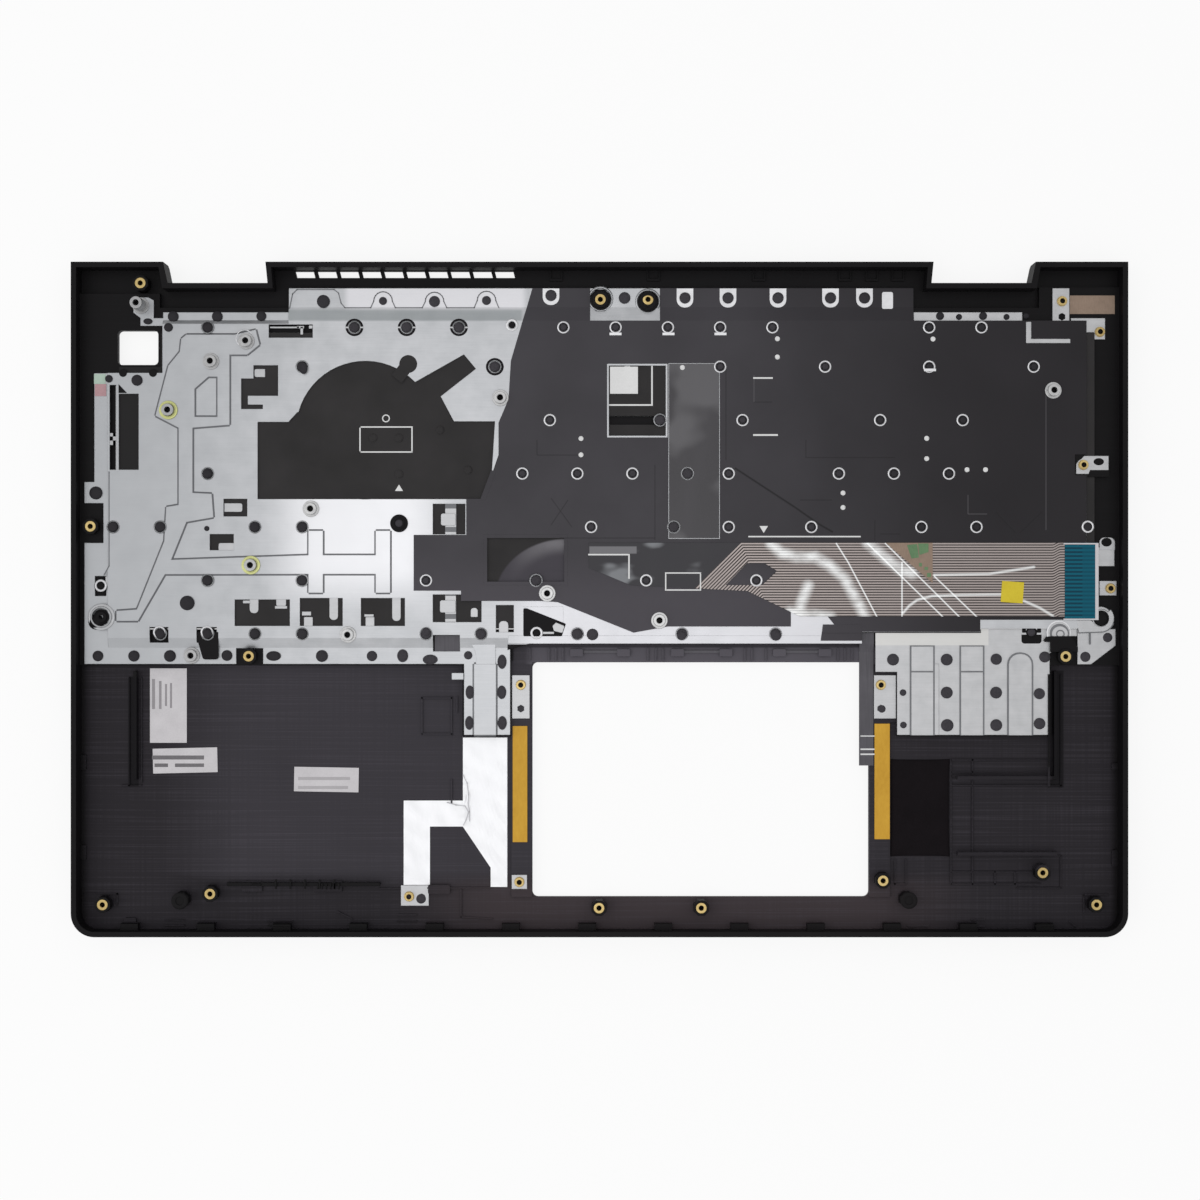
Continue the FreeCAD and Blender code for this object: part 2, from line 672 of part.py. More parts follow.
def dome(cell):
    name, x0, x1, y0, y1 = cell
    x, y = (x0 + x1) / 2, (y0 + y1) / 2
    foot = (x - DOME_FOOT, x + DOME_FOOT, y - DOME_FOOT, y + DOME_FOOT, DECK_TOP)
    top = (x - DOME_TOP, x + DOME_TOP, y - DOME_TOP, y + DOME_TOP, KEY_BASE + DOME_GAP)
    return frustum(top, foot)


# Support plate: outline and cut-outs
SIDE_FLANGE = 10.1
REAR_SIDE_FLANGE = 6.7
NOTCH_FLANGE = 3.6
POWER_ROOM_X = 0.7
POWER_ROOM_Y = 2.1
BOSS_NOTCH = (31.0, 44.6)
SIDE_FLANGE_TOP = 51.8
RIGHT_TAIL_ROOM = 40.8
RIGHT_FRONT_EDGE = 1.8
RIBBON_EDGE = 0.6
FRONT_STRIP_EDGE = 1.2
FRONT_STRIP_SLANT = (88.6, 95.4)
FLANGE_SLANT = 9.5
LEFT_EDGE = KEYS_LEFT - SIDE_FLANGE
LEFT_EDGE_REAR = KEYS_LEFT - REAR_SIDE_FLANGE
NOTCH_EDGE = KEYS_LEFT - NOTCH_FLANGE
PLATE_POWER_X = KEYS_LEFT + PAD_PITCH_X + POWER_ROOM_X
PLATE_POWER_Y = ROW_LINES[1] - POWER_ROOM_Y
STRIP_EDGE_GAP = 0.3
STRIP_EDGE = STRIP_RIGHT - STRIP_EDGE_GAP


# Arm round the power opening, which carries the tall stand-off, from the left wall and the key rear
CORNER_ARM = [
    (31.1, 0.7),
    (31.1, 3.3),
    (27.1, 3.3),
    (27.1, 9.4),
    (25.2, 10.4),
    (20.2, 10.4),
    (20.2, 5.2),
    (22.6, 3.4),
    (22.6, 0.7),
]


def plate_outline():
    return [
        (PLATE_POWER_X, KEYS_REAR + CORNER_FLANGE_EDGE),
        (PLATE_STEP, KEYS_REAR + CORNER_FLANGE_EDGE),
        (PLATE_STEP, KEYS_REAR + REAR_FLANGE_EDGE),
        (PLATE_CORNER, KEYS_REAR + REAR_FLANGE_EDGE),
        (PLATE_CORNER, KEYS_REAR + REAR_FOLD_TOP),
        (PLATE_RIGHT, KEYS_REAR + REAR_FOLD_TOP),
        (PLATE_RIGHT, KEYS_FRONT + RIGHT_FRONT_EDGE),
        (KEYS_RIGHT - RIGHT_TAIL_ROOM, KEYS_FRONT + RIGHT_FRONT_EDGE),
        (KEYS_RIGHT - RIGHT_TAIL_ROOM, KEYS_FRONT + RIBBON_EDGE),
        (KEYS_RIGHT - FRONT_STRIP_SLANT[0], KEYS_FRONT + RIBBON_EDGE),
        (KEYS_RIGHT - FRONT_STRIP_SLANT[1], KEYS_FRONT - FRONT_STRIP_EDGE),
        (TOUCHPAD_LEFT + FLANGE_SLANT, KEYS_FRONT - FRONT_STRIP_EDGE),
        (STRIP_EDGE, KEYS_FRONT - FRONT_FOLD_FOOT),
        (STRIP_EDGE, KEYS_FRONT - STRIP_FRONT),
        (STRIP_LEFT, KEYS_FRONT - STRIP_FRONT),
        (STRIP_LEFT, KEYS_FRONT - FRONT_FLANGE_EDGE),
        (LEFT_EDGE, KEYS_FRONT - FRONT_FLANGE_EDGE),
        (LEFT_EDGE, KEYS_FRONT + BOSS_NOTCH[0]),
        (NOTCH_EDGE, KEYS_FRONT + BOSS_NOTCH[0]),
        (NOTCH_EDGE, KEYS_FRONT + BOSS_NOTCH[1]),
        (LEFT_EDGE, KEYS_FRONT + BOSS_NOTCH[1]),
        (LEFT_EDGE, KEYS_FRONT + SIDE_FLANGE_TOP),
        (LEFT_EDGE_REAR, KEYS_FRONT + SIDE_FLANGE_TOP),
        (LEFT_EDGE_REAR, PLATE_POWER_Y),
        (PLATE_POWER_X, PLATE_POWER_Y),
    ]


# Rectangular cut-outs as (x0, x1, y0, y1) from the inner edge of the number pad and the key front
FRONT_CUTS = [
    (-26.8, -18.7, 40.0, 46.0),
    (-31.5, -23.3, 28.5, 34.0),
    (-23.0, -4.2, 2.7, 11.7),
    (-0.8, 13.8, 2.7, 12.2),
    (20.0, 35.0, 2.7, 12.2),
    (44.5, 55.6, 33.9, 44.3),
    (44.5, 61.1, 4.0, 13.4),
    (44.5, 53.7, -6.0, -0.4),
    (66.0, 72.1, 0.6, 9.8),
]
# The same from the left edge of the keys and the key front
LEFT_FRONT_CUTS = [
    (12.4, 18.8, -3.0, 2.3),
    (28.4, 35.3, -3.0, 2.3),
    (-6.5, -2.6, 12.9, 19.7),
    (41.7, 50.9, -11.3, -4.9),
]
# The same from the left edge of the keys and the key rear
LEFT_REAR_CUTS = [(-1.2, 1.2, -48.5, -19.6), (1.9, 8.7, -48.5, -22.6)]
CLIP_SLOT = (-11.4, 3.6, -3.5, 1.0)
TRIANGLE_CUT = [(75.4, 8.6), (88.4, 8.6), (88.4, 1.0)]
S_CUT = [
    (-16.6, -12.9),
    (-8.2, -12.9),
    (-8.2, -23.3),
    (-18.5, -23.3),
    (-18.5, -26.3),
    (-13.4, -26.3),
    (-13.4, -27.8),
    (-20.8, -27.8),
    (-20.8, -17.4),
    (-16.6, -17.4),
]
# Fan-shaped cut-out, from the inner edge of the number pad and the key rear
FAN_BODY = [(-15.2, -32.2), (-4.7, -32.2), (-1.7, -28.9), (47.1, -23.3), (51.7, -32.0), (65.7, -32.0)]
FAN_FOOT = [(64.6, -49.6), (61.2, -58.5), (-15.2, -58.5)]
FAN_ARM = [(36.0, -20.0), (55.1, -9.2), (59.2, -14.1), (44.0, -26.0)]
FAN_CENTRE = (21.5, -35.0)
FAN_RADIUS = 23.6
# Windows in plate and film, from the right edge of the keys and the key front
FILM_WINDOWS = [(-209.6, -181.7, 16.8, 33.4), (-168.0, -147.4, 66.9, 92.0)]
WINDOW_LIP = 0.6


def rectangle_cutters(cuts, x, y):
    return [column(x + x0, x + x1, y + y0, y + y1) for x0, x1, y0, y1 in cuts]


def fan_cutters():
    x, y = PAD_EDGE + FAN_CENTRE[0], KEYS_REAR + FAN_CENTRE[1]
    return [
        cutter(offset_points(FAN_BODY + FAN_FOOT, PAD_EDGE, KEYS_REAR)),
        cutter(offset_points(FAN_ARM, PAD_EDGE, KEYS_REAR)),
        cylinder(x, y, FAN_RADIUS, BELOW, ABOVE),
    ]


def boss_room():
    radius = BOSS_RADIUS + BOSS_ROOM
    return [post(x, y, radius, BELOW, ABOVE, BOSS_SIDES) for x, y in REAR_PAIR]


# Tab at the right edge, where the plate is notched, from the key front
EDGE_TAB_OFFSET = 54.5
EDGE_TAB_WIDTH = 6.1
EDGE_TAB_FRONT = KEYS_FRONT + EDGE_TAB_OFFSET
EDGE_TAB_REAR = EDGE_TAB_FRONT + EDGE_TAB_WIDTH
EDGE_TAB_ROOM = 0.5
EDGE_TAB_START = 16.8
EDGE_TAB_STOP = 5.8
EDGE_TAB_LEFT = RIGHT - EDGE_TAB_START
EDGE_TAB_RIGHT = RIGHT - EDGE_TAB_STOP


def edge_tab_room():
    room = EDGE_TAB_ROOM
    return column(EDGE_TAB_LEFT - room, RIGHT, EDGE_TAB_FRONT - room, EDGE_TAB_REAR + room)


def plate_cutters():
    cuts = rectangle_cutters(FRONT_CUTS, PAD_EDGE, KEYS_FRONT)
    cuts += rectangle_cutters(LEFT_FRONT_CUTS, KEYS_LEFT, KEYS_FRONT)
    cuts += rectangle_cutters(LEFT_REAR_CUTS, KEYS_LEFT, KEYS_REAR)
    cuts += rectangle_cutters([CLIP_SLOT], PAD_EDGE, KEYS_REAR)
    lipped = [(x0 + WINDOW_LIP, x1 - WINDOW_LIP, y0 + WINDOW_LIP, y1 - WINDOW_LIP)
              for x0, x1, y0, y1 in FILM_WINDOWS]
    cuts += rectangle_cutters(lipped, KEYS_RIGHT, KEYS_FRONT)
    cuts.append(cutter(offset_points(TRIANGLE_CUT, PAD_EDGE, KEYS_FRONT)))
    cuts.append(cutter(offset_points(S_CUT, PAD_EDGE, KEYS_REAR)))
    cuts += fan_cutters() + boss_room() + [edge_tab_room()]
    return cuts + punched_holes(FIELD_STAKES)


# Embossed stiffeners of the plate
PAD_EMBOSS_REAR = [
    (22.4, -34.2),
    (14.5, -30.1),
    (18.9, -13.1),
    (22.8, -8.3),
    (23.3, -3.9),
    (25.0, -2.5),
    (41.7, -2.5),
    (48.6, -0.8),
    (49.9, -5.9),
    (45.7, -9.3),
    (39.7, -9.3),
    (39.7, -33.2),
    (27.1, -34.2),
]
PAD_EMBOSS_FRONT = [(27.1, 48.0), (33.6, 47.7), (34.2, 39.7), (25.0, 38.1), (19.8, 25.2)]
PAD_EMBOSS_FOOT = [
    (17.7, 20.3),
    (8.5, 4.4),
    (1.2, 4.4),
    (1.2, 7.8),
    (8.2, 8.3),
    (17.5, 31.6),
    (18.2, 43.2),
    (22.4, 43.9),
]
PAD_POCKET = [(32.5, -16.8), (35.6, -16.8), (35.6, -30.5), (27.8, -30.5), (27.8, -20.9)]
RAIL_REAR = 26.8
RAIL_FRONT = 20.4
CROSS_BARS = [(2.2, 7.1), (25.1, 30.0)]
CROSS_REAR = 35.1
CROSS_FRONT = 14.0
STRIP_CHANNEL = (-19.8, -12.3)


def plate_emboss():
    """Plan faces of the raised stiffeners, as solids one sheet thick at the height of the plate."""
    points = offset_points(PAD_EMBOSS_REAR, KEYS_LEFT, KEYS_REAR)
    points += offset_points(PAD_EMBOSS_FRONT, KEYS_LEFT, KEYS_FRONT)
    points.append((PAD_EDGE + CROSS_BARS[0][0], KEYS_FRONT + RAIL_REAR))
    points.append((PAD_EDGE + CROSS_BARS[0][0], KEYS_FRONT + RAIL_FRONT))
    points += offset_points(PAD_EMBOSS_FOOT, KEYS_LEFT, KEYS_FRONT)
    low, high = PLATE_BOTTOM, PLATE_TOP
    pocket = cutter(offset_points(PAD_POCKET, KEYS_LEFT, KEYS_REAR))
    shapes = [prism(points, low, high).cut(pocket)]
    for x0, x1 in CROSS_BARS:
        y0, y1 = KEYS_FRONT + CROSS_FRONT, KEYS_FRONT + CROSS_REAR
        shapes.append(box(PAD_EDGE + x0, PAD_EDGE + x1, y0, y1, low, high))
    shapes.append(
        box(
            PAD_EDGE + CROSS_BARS[0][1],
            PAD_EDGE + CROSS_BARS[1][0],
            KEYS_FRONT + RAIL_FRONT,
            KEYS_FRONT + RAIL_REAR,
            low,
            high,
        )
    )
    return shapes[0].fuse(shapes[1:])


def strip_channel():
    x0, x1 = STRIP_CHANNEL
    y0, y1 = KEYS_FRONT - STRIP_FRONT, KEYS_FRONT - FRONT_FLANGE_EDGE
    return box(TOUCHPAD_LEFT + x0, TOUCHPAD_LEFT + x1, y0, y1, DECK_TOP, FLANGE_TOP)


def lifted(shape, rise):
    copy = shape.copy()
    copy.translate(V(0, 0, rise))
    return copy


def plate_path(foot, top):
    """Lower side of the plate from front to rear, with the rear fold's foot and top given."""
    return [
        (FRONT, DECK_TOP),
        (KEYS_FRONT - FRONT_FOLD_FOOT, DECK_TOP),
        (KEYS_FRONT - FRONT_FOLD_TOP, PLATE_BOTTOM),
        (KEYS_REAR + top, PLATE_BOTTOM),
        (KEYS_REAR + foot, DECK_TOP),
        (REAR, DECK_TOP),
    ]


def keyboard_support_plate():
    middle = folded_sheet(plate_path(REAR_FOLD_FOOT, REAR_FOLD_TOP), PLATE_THICKNESS, PLATE_STEP, RIGHT)
    fold = KEYS_LEFT - SIDE_FOLD
    corner_path = plate_path(CORNER_FOLD_FOOT, CORNER_FOLD_TOP)
    corner = folded_sheet(corner_path, PLATE_THICKNESS, fold, PLATE_STEP)
    side = box(LEFT, fold, FRONT, REAR, DECK_TOP, FLANGE_TOP)
    step = box(
        fold,
        fold + PLATE_THICKNESS,
        KEYS_FRONT - FRONT_FOLD_TOP,
        PLATE_POWER_Y,
        DECK_TOP,
        PLATE_TOP,
    )
    blank = middle.fuse([corner, side, step]).common(cutter(plate_outline()))
    blank = blank.fuse(prism(offset_points(CORNER_ARM, LEFT, KEYS_REAR), DECK_TOP, FLANGE_TOP))
    cuts = plate_cutters()
    raised = plate_emboss()
    channel = strip_channel()
    flat = blank.cut(cuts + [raised, channel])
    stiffeners = [lifted(raised, EMBOSS).cut(cuts), lifted(channel, EMBOSS)]
    return flat.fuse(stiffeners)


# Insulation film over the right half of the plate
FILM_LEFT_EDGE = [
    (78.4, 13.5),
    (71.1, -11.4),
    (70.3, -24.5),
    (66.9, -32.5),
    (66.9, -43.4),
    (61.8, -58.4),
    (55.9, -58.4),
    (55.9, -70.7),
    (38.0, -70.7),
]
FILM_FRONT_EDGE = [
    (38.0, 14.7),
    (54.1, 14.7),
    (54.1, 11.2),
    (81.0, 11.2),
    (87.0, 10.8),
    (112.9, 0.4),
    (124.5, 2.5),
]
FILM_RIGHT_FRONT = [
    (-105.4, 2.5),
    (-105.4, 7.8),
    (-94.4, 7.8),
    (-88.6, 0.7),
    (-40.9, 0.7),
    (-40.9, 4.8),
    (-4.8, 4.8),
]
INSERT_TAB = (98.1, 121.9)
TAIL_STRIP = (-146.9, -129.8, 32.6, 92.0)
TAIL_GAP = 0.2


def film_outline():
    points = offset_points(FILM_LEFT_EDGE, PAD_EDGE, KEYS_REAR)
    points += offset_points(FILM_FRONT_EDGE, PAD_EDGE, KEYS_FRONT)
    points += offset_points(FILM_RIGHT_FRONT, KEYS_RIGHT, KEYS_FRONT)
    points.append((PLATE_RIGHT, KEYS_REAR + REAR_FOLD_TOP))
    points.append((PLATE_CORNER, KEYS_REAR + REAR_FOLD_TOP))
    points.append((PLATE_CORNER, KEYS_REAR + REAR_FLANGE_EDGE))
    return points


def tail_plan(grow):
    x0, x1, y0, y1 = TAIL_STRIP
    return (
        KEYS_RIGHT + x0 - grow,
        KEYS_RIGHT + x1 + grow,
        KEYS_FRONT + y0 - grow,
        KEYS_FRONT + y1 + grow,
    )


def insulation_film():
    path = [(y, z + PLATE_THICKNESS) for y, z in plate_path(REAR_FOLD_FOOT, REAR_FOLD_TOP)]
    blank = folded_sheet(path, FILM_THICKNESS, PLATE_STEP, RIGHT).common(cutter(film_outline()))
    cuts = rectangle_cutters(FILM_WINDOWS, KEYS_RIGHT, KEYS_FRONT)
    tab_left, tab_right = INSERT_TAB
    tab_front = KEYS_REAR + REAR_FOLD_TOP
    cuts.append(column(PAD_EDGE + tab_left, PAD_EDGE + tab_right, tab_front, REAR))
    cuts.append(column(*tail_plan(TAIL_GAP)))
    cuts.append(edge_tab_room())
    return blank.cut(cuts + film_holes(FIELD_STAKES))


def backlight_tail():
    x0, x1, y0, y1 = tail_plan(0)
    return box(x0, x1, y0, y1, PLATE_TOP, FILM_TOP).cut(film_holes(FIELD_STAKES))


# Driver block on the backlight sheet, in the square window
DRIVER = (-167.0, -157.5, 81.8, 91.0)


def backlight_driver():
    x0, x1, y0, y1 = DRIVER
    x, y = KEYS_RIGHT, KEYS_FRONT
    return box(x + x0, x + x1, y + y0, y + y1, PLATE_BOTTOM, FILM_TOP)


# Keyboard ribbon, lying on the film
RIBBON_LEFT = [(-174.2, 31.0), (-174.2, 22.5), (-160.0, 16.6), (-120.3, 14.6), (-102.2, 5.9)]
RIBBON_END = -12.2
RIBBON_REAR = 31.0
RIBBON_FRONT = 5.9
DIAMOND = [(-127.6, 16.6), (-120.3, 24.1), (-114.5, 24.1), (-110.1, 21.4), (-115.2, 16.6)]
STIFFENER_END = -0.9
STIFFENER_FRONT = 4.7
STIFFENER_THICKNESS = 0.3


def keyboard_ribbon():
    points = offset_points(RIBBON_LEFT, KEYS_RIGHT, KEYS_FRONT)
    points.append((KEYS_RIGHT + RIBBON_END, KEYS_FRONT + RIBBON_FRONT))
    points.append((KEYS_RIGHT + RIBBON_END, KEYS_FRONT + RIBBON_REAR))
    cuts = [cutter(offset_points(DIAMOND, KEYS_RIGHT, KEYS_FRONT))]
    return prism(points, FILM_TOP, RIBBON_TOP).cut(cuts + film_holes(FIELD_STAKES))


def ribbon_stiffener():
    return box(
        KEYS_RIGHT + RIBBON_END,
        KEYS_RIGHT + STIFFENER_END,
        KEYS_FRONT + STIFFENER_FRONT,
        KEYS_FRONT + RIBBON_REAR,
        FILM_TOP,
        FILM_TOP + STIFFENER_THICKNESS,
    )


# Tapes on the ribbon, from the right edge of the keys and the key front
YELLOW_TAPE = (-33.8, -26.3, 10.6, 17.8)
YELLOW_TAPE_TURN = -4
RIBBON_TAPE = [(-73.2, RIBBON_REAR), (-57.2, RIBBON_REAR), (-57.2, 17.3)]


def yellow_tape():
    x0, x1, y0, y1 = YELLOW_TAPE
    x, y = KEYS_RIGHT, KEYS_FRONT
    return turned_plate(x + x0, x + x1, y + y0, y + y1, RIBBON_TOP, TAPE_THICKNESS, YELLOW_TAPE_TURN)


def ribbon_tape():
    points = offset_points(RIBBON_TAPE, KEYS_RIGHT, KEYS_FRONT)
    return prism(points, RIBBON_TOP, RIBBON_TOP + TAPE_THICKNESS)


def threaded_inserts():
    """Brass inserts, faceted outside to hold in the boss. The front pairs have round bores."""
    z0 = BOSS_TOP - INSERT_LENGTH
    made = []
    for x, y in PAIRED_INSERTS:
        bore = cylinder(x, y, INSERT_BORE, z0, BOSS_TOP)
        made.append(post(x, y, INSERT_RADIUS, z0, BOSS_TOP, BOSS_SIDES).cut(bore))
    for x, y in REAR_PAIR + SINGLE_INSERTS:
        made.append(hollow_post(x, y, INSERT_RADIUS, INSERT_BORE, z0, BOSS_TOP, BOSS_SIDES))
    return group(made)


# Stand-offs riveted to the plate, from the left edge of the keys and the key rear or front
PAD_REAR_STANDOFFS = [(45.4, -4.7), (33.4, -11.6), (18.9, -28.2)]
PAD_FRONT_STANDOFF = (47.0, 23.4)
FLANGE_STANDOFF = (26.5, -7.4)
# The same from the inner edge of the number pad
MIDDLE_FRONT_STANDOFFS = [(3.0, 42.6), (15.6, -0.3)]
MIDDLE_REAR_STANDOFF = (67.5, -24.0)
FILM_STANDOFF = (83.5, 13.8)
# The same from the right edge of the keys
RIGHT_FRONT_STANDOFFS = [(-150.2, 4.6), (-16.1, 82.9)]
# The tall one in the corner, from the left wall and the key rear
TALL_STANDOFF = (22.7, 7.6)


def standoff_places():
    """Places of the short stand-offs, with the height of the face that each one sits on."""
    seats = [
        (PAD_REAR_STANDOFFS, KEYS_LEFT, KEYS_REAR, PLATE_TOP + EMBOSS),
        ([PAD_FRONT_STANDOFF], KEYS_LEFT, KEYS_FRONT, PLATE_TOP + EMBOSS),
        ([FLANGE_STANDOFF], KEYS_LEFT, KEYS_FRONT, FLANGE_TOP),
        (MIDDLE_FRONT_STANDOFFS, PAD_EDGE, KEYS_FRONT, PLATE_TOP),
        ([MIDDLE_REAR_STANDOFF], PAD_EDGE, KEYS_REAR, PLATE_TOP),
        ([FILM_STANDOFF], PAD_EDGE, KEYS_FRONT, FILM_TOP),
        (RIGHT_FRONT_STANDOFFS, KEYS_RIGHT, KEYS_FRONT, FILM_TOP),
    ]
    return [(x + dx, y + dy, seat) for places, x, y, seat in seats for dx, dy in places]


def standoff(x, y, seat, height):
    return hollow_post(x, y, STANDOFF_RADIUS, STANDOFF_BORE, seat, seat + height, STANDOFF_SIDES)


def plate_standoffs():
    made = []
    for x, y, seat in standoff_places():
        made.append(standoff(x, y, seat, STANDOFF_HEIGHT))
    x, y = TALL_STANDOFF
    made.append(standoff(LEFT + x, KEYS_REAR + y, FLANGE_TOP, TALL_STANDOFF_HEIGHT))
    return group(made)


# Ribbed bracket beside the touchpad opening: its shoulder over the ledge, the bars at its rear edge,
# and a saddle that reaches to the corner lug
BRACKET_CHANNELS = [(18.5, 23.5), (33.2, 38.2), (49.2, 53.5)]
BRACKET_SHOULDER = (1.9, -13.0)
BRACKET_BAR = 0.3
BRACKET_HIGH_BAR = (38.0, 60.1, 1.7)
SADDLE_FRONT = 0.8
SADDLE_ROOM = 16.3


def bracket_outline():
    x = TOUCHPAD_RIGHT
    front, middle = KEYS_FRONT - STRIP_FRONT, KEYS_FRONT - FRONT_FOLD_FOOT
    shoulder, shoulder_front = x + BRACKET_SHOULDER[0], KEYS_FRONT + BRACKET_SHOULDER[1]
    bar_left, bar_right, bar_rear = BRACKET_HIGH_BAR
    saddle_front = KEYS_FRONT - SADDLE_FRONT
    return [
        (BRACKET_LEFT, front),
        (BRACKET_RIGHT, front),
        (BRACKET_RIGHT, middle),
        (x + bar_right, middle),
        (x + bar_right, saddle_front),
        (RIGHT - SADDLE_ROOM, saddle_front),
        (RIGHT - SADDLE_ROOM, KEYS_FRONT + bar_rear),
        (x + bar_left, KEYS_FRONT + bar_rear),
        (x + bar_left, KEYS_FRONT + BRACKET_BAR),
        (shoulder, KEYS_FRONT + BRACKET_BAR),
        (shoulder, shoulder_front),
        (BRACKET_LEFT, shoulder_front),
    ]


def touchpad_side_bracket():
    y0 = KEYS_FRONT - STRIP_FRONT
    flat = prism(bracket_outline(), DECK_TOP, FLANGE_TOP)
    channels = []
    for x0, x1 in BRACKET_CHANNELS:
        x = TOUCHPAD_RIGHT
        channels.append(box(x + x0, x + x1, y0, KEYS_FRONT - FRONT_FLANGE_EDGE, DECK_TOP, FLANGE_TOP))
    return flat.cut(channels).fuse([lifted(channel, EMBOSS) for channel in channels])


# Touchpad tabs on the ledge: (x0, x1, y0, y1), nut and hole, from the opening's rear corners
TAB_NUT_DY = -7.7
TAB_HOLE_DY = -15.8
TAB_DEPTH = (-19.2, -4.4)
LEFT_TAB = (-6.9, -0.9)
RIGHT_TAB = (1.6, 9.1)
TAB_AXIS = 3.9
LOW_TAB = (-7.0, -1.8, 2.9, 7.7)


def tab_holes(places):
    return [post(x, y, TAB_HOLE_RADIUS, BELOW, ABOVE, NUT_SIDES) for x, y in places]


def tab_plate(x0, x1, y0, y1, z, holes):
    return box(x0, x1, y0, y1, z, z + PLATE_THICKNESS).cut(tab_holes(holes))


def touchpad_tabs():
    front, rear = (TOUCHPAD_REAR + y for y in TAB_DEPTH)
    hole = TOUCHPAD_REAR + TAB_HOLE_DY
    tabs = []
    for edge, span, axis in (
        (TOUCHPAD_LEFT, LEFT_TAB, TOUCHPAD_LEFT - TAB_AXIS),
        (TOUCHPAD_RIGHT, RIGHT_TAB, TOUCHPAD_RIGHT + TAB_AXIS),
    ):
        tabs.append(tab_plate(edge + span[0], edge + span[1], front, rear, LEDGE_TOP, [(axis, hole)]))
    x0, x1, y0, y1 = LOW_TAB
    x, y = TOUCHPAD_LEFT, TOUCHPAD_FRONT
    tabs.append(tab_plate(x + x0, x + x1, y + y0, y + y1, LEDGE_TOP, []))
    return group(tabs)


# Side tabs, hinge bracket and strips near the right wall, as (x0, x1, y0, y1)
HINGE_PLATE = (-24.6, -18.9, -23.3, -8.3)
HINGE_ARM = [(-34.0, -20.0), (-34.0, -27.2), (-19.0, -27.2), (-19.0, -25.8), (-32.3, -25.8), (-32.3, -20.0)]
HINGE_ARM_THICKNESS = 0.3
HINGE_STRIP = (-72.0, -35.0, -19.8, -16.5)
HINGE_LUG = (-18.3, -10.3, -23.3, -18.5)
HINGE_NUT_LUG = (-10.3, -6.7, -25.7, -18.5)
HINGE_HOLES = [(-21.4, -18.0)]
SIDE_TABS = [(-10.3, -3.5, 23.1, 29.5), (-8.6, -2.8, 13.1, 18.0)]
CORNER_LUG = [(-16.1, -10.4), (-11.5, -10.4), (-3.1, -4.0), (-3.1, 1.6), (-16.1, 1.6)]
CORNER_LUG_HOLES = [(-6.0, -1.6), (-13.4, -7.4)]


def hinge_bracket():
    """Flat pieces on the deck in the corner, and an arm that lies on the film."""
    flats = []
    for x0, x1, y0, y1 in (HINGE_PLATE, HINGE_STRIP, HINGE_LUG, HINGE_NUT_LUG):
        flats.append(box(RIGHT + x0, RIGHT + x1, REAR + y0, REAR + y1, DECK_TOP, FLANGE_TOP))
    plate, strip, lug, nut_lug = flats
    bracket = plate.cut(tab_holes(offset_points(HINGE_HOLES, RIGHT, REAR)))
    arm = prism(offset_points(HINGE_ARM, RIGHT, REAR), FILM_TOP, FILM_TOP + HINGE_ARM_THICKNESS)
    return group([bracket, strip, lug.fuse(nut_lug), arm])


def side_brackets():
    tabs = [box(EDGE_TAB_LEFT, EDGE_TAB_RIGHT, EDGE_TAB_FRONT, EDGE_TAB_REAR, PLATE_BOTTOM, PLATE_TOP)]
    for x0, x1, y0, y1 in SIDE_TABS:
        tabs.append(box(RIGHT + x0, RIGHT + x1, KEYS_FRONT + y0, KEYS_FRONT + y1, DECK_TOP, FLANGE_TOP))
    lug = prism(offset_points(CORNER_LUG, RIGHT, KEYS_FRONT), DECK_TOP, FLANGE_TOP)
    tabs.append(lug.cut(tab_holes(offset_points(CORNER_LUG_HOLES, RIGHT, KEYS_FRONT))))
    return group(tabs)


# Ground foil and its end clip on the palm floor, from the left corners of the touchpad opening
FOIL_REAR_END = [(-23.8, -25.8), (-8.6, -25.8)]
FOIL_FRONT_END = [
    (-8.6, 3.4),
    (-14.3, 3.4),
    (-14.3, 10.0),
    (-23.8, 24.1),
    (-35.1, 24.1),
    (-35.1, 4.1),
    (-44.1, 4.1),
    (-44.1, 33.0),
    (-23.8, 33.0),
]
CLIP = (-45.0, -35.5, -3.0, 4.0)
CLIP_NUT = (-42.2, 0.2)
CLIP_HOLE = (-37.9, -0.1)
CLIP_THICKNESS = 0.4


def ground_foil():
    points = offset_points(FOIL_REAR_END, TOUCHPAD_LEFT, TOUCHPAD_REAR)
    points += offset_points(FOIL_FRONT_END, TOUCHPAD_LEFT, TOUCHPAD_FRONT)
    return prism(points, FLOOR, FLOOR + FOIL_THICKNESS)


def ground_clip():
    x0, x1, y0, y1 = CLIP
    x, y = TOUCHPAD_LEFT, TOUCHPAD_FRONT
    plate = box(x + x0, x + x1, y + y0, y + y1, FLOOR, FLOOR + CLIP_THICKNESS)
    return plate.cut(tab_holes(offset_points([CLIP_HOLE], x, y)))


# Press nuts on the tabs at the right wall and on the hinge bracket
EDGE_TAB_NUT = 2.4
SIDE_TAB_NUT = (-4.9, 15.5)
HINGE_NUTS = [(-21.4, -12.7), (-8.5, -23.2)]


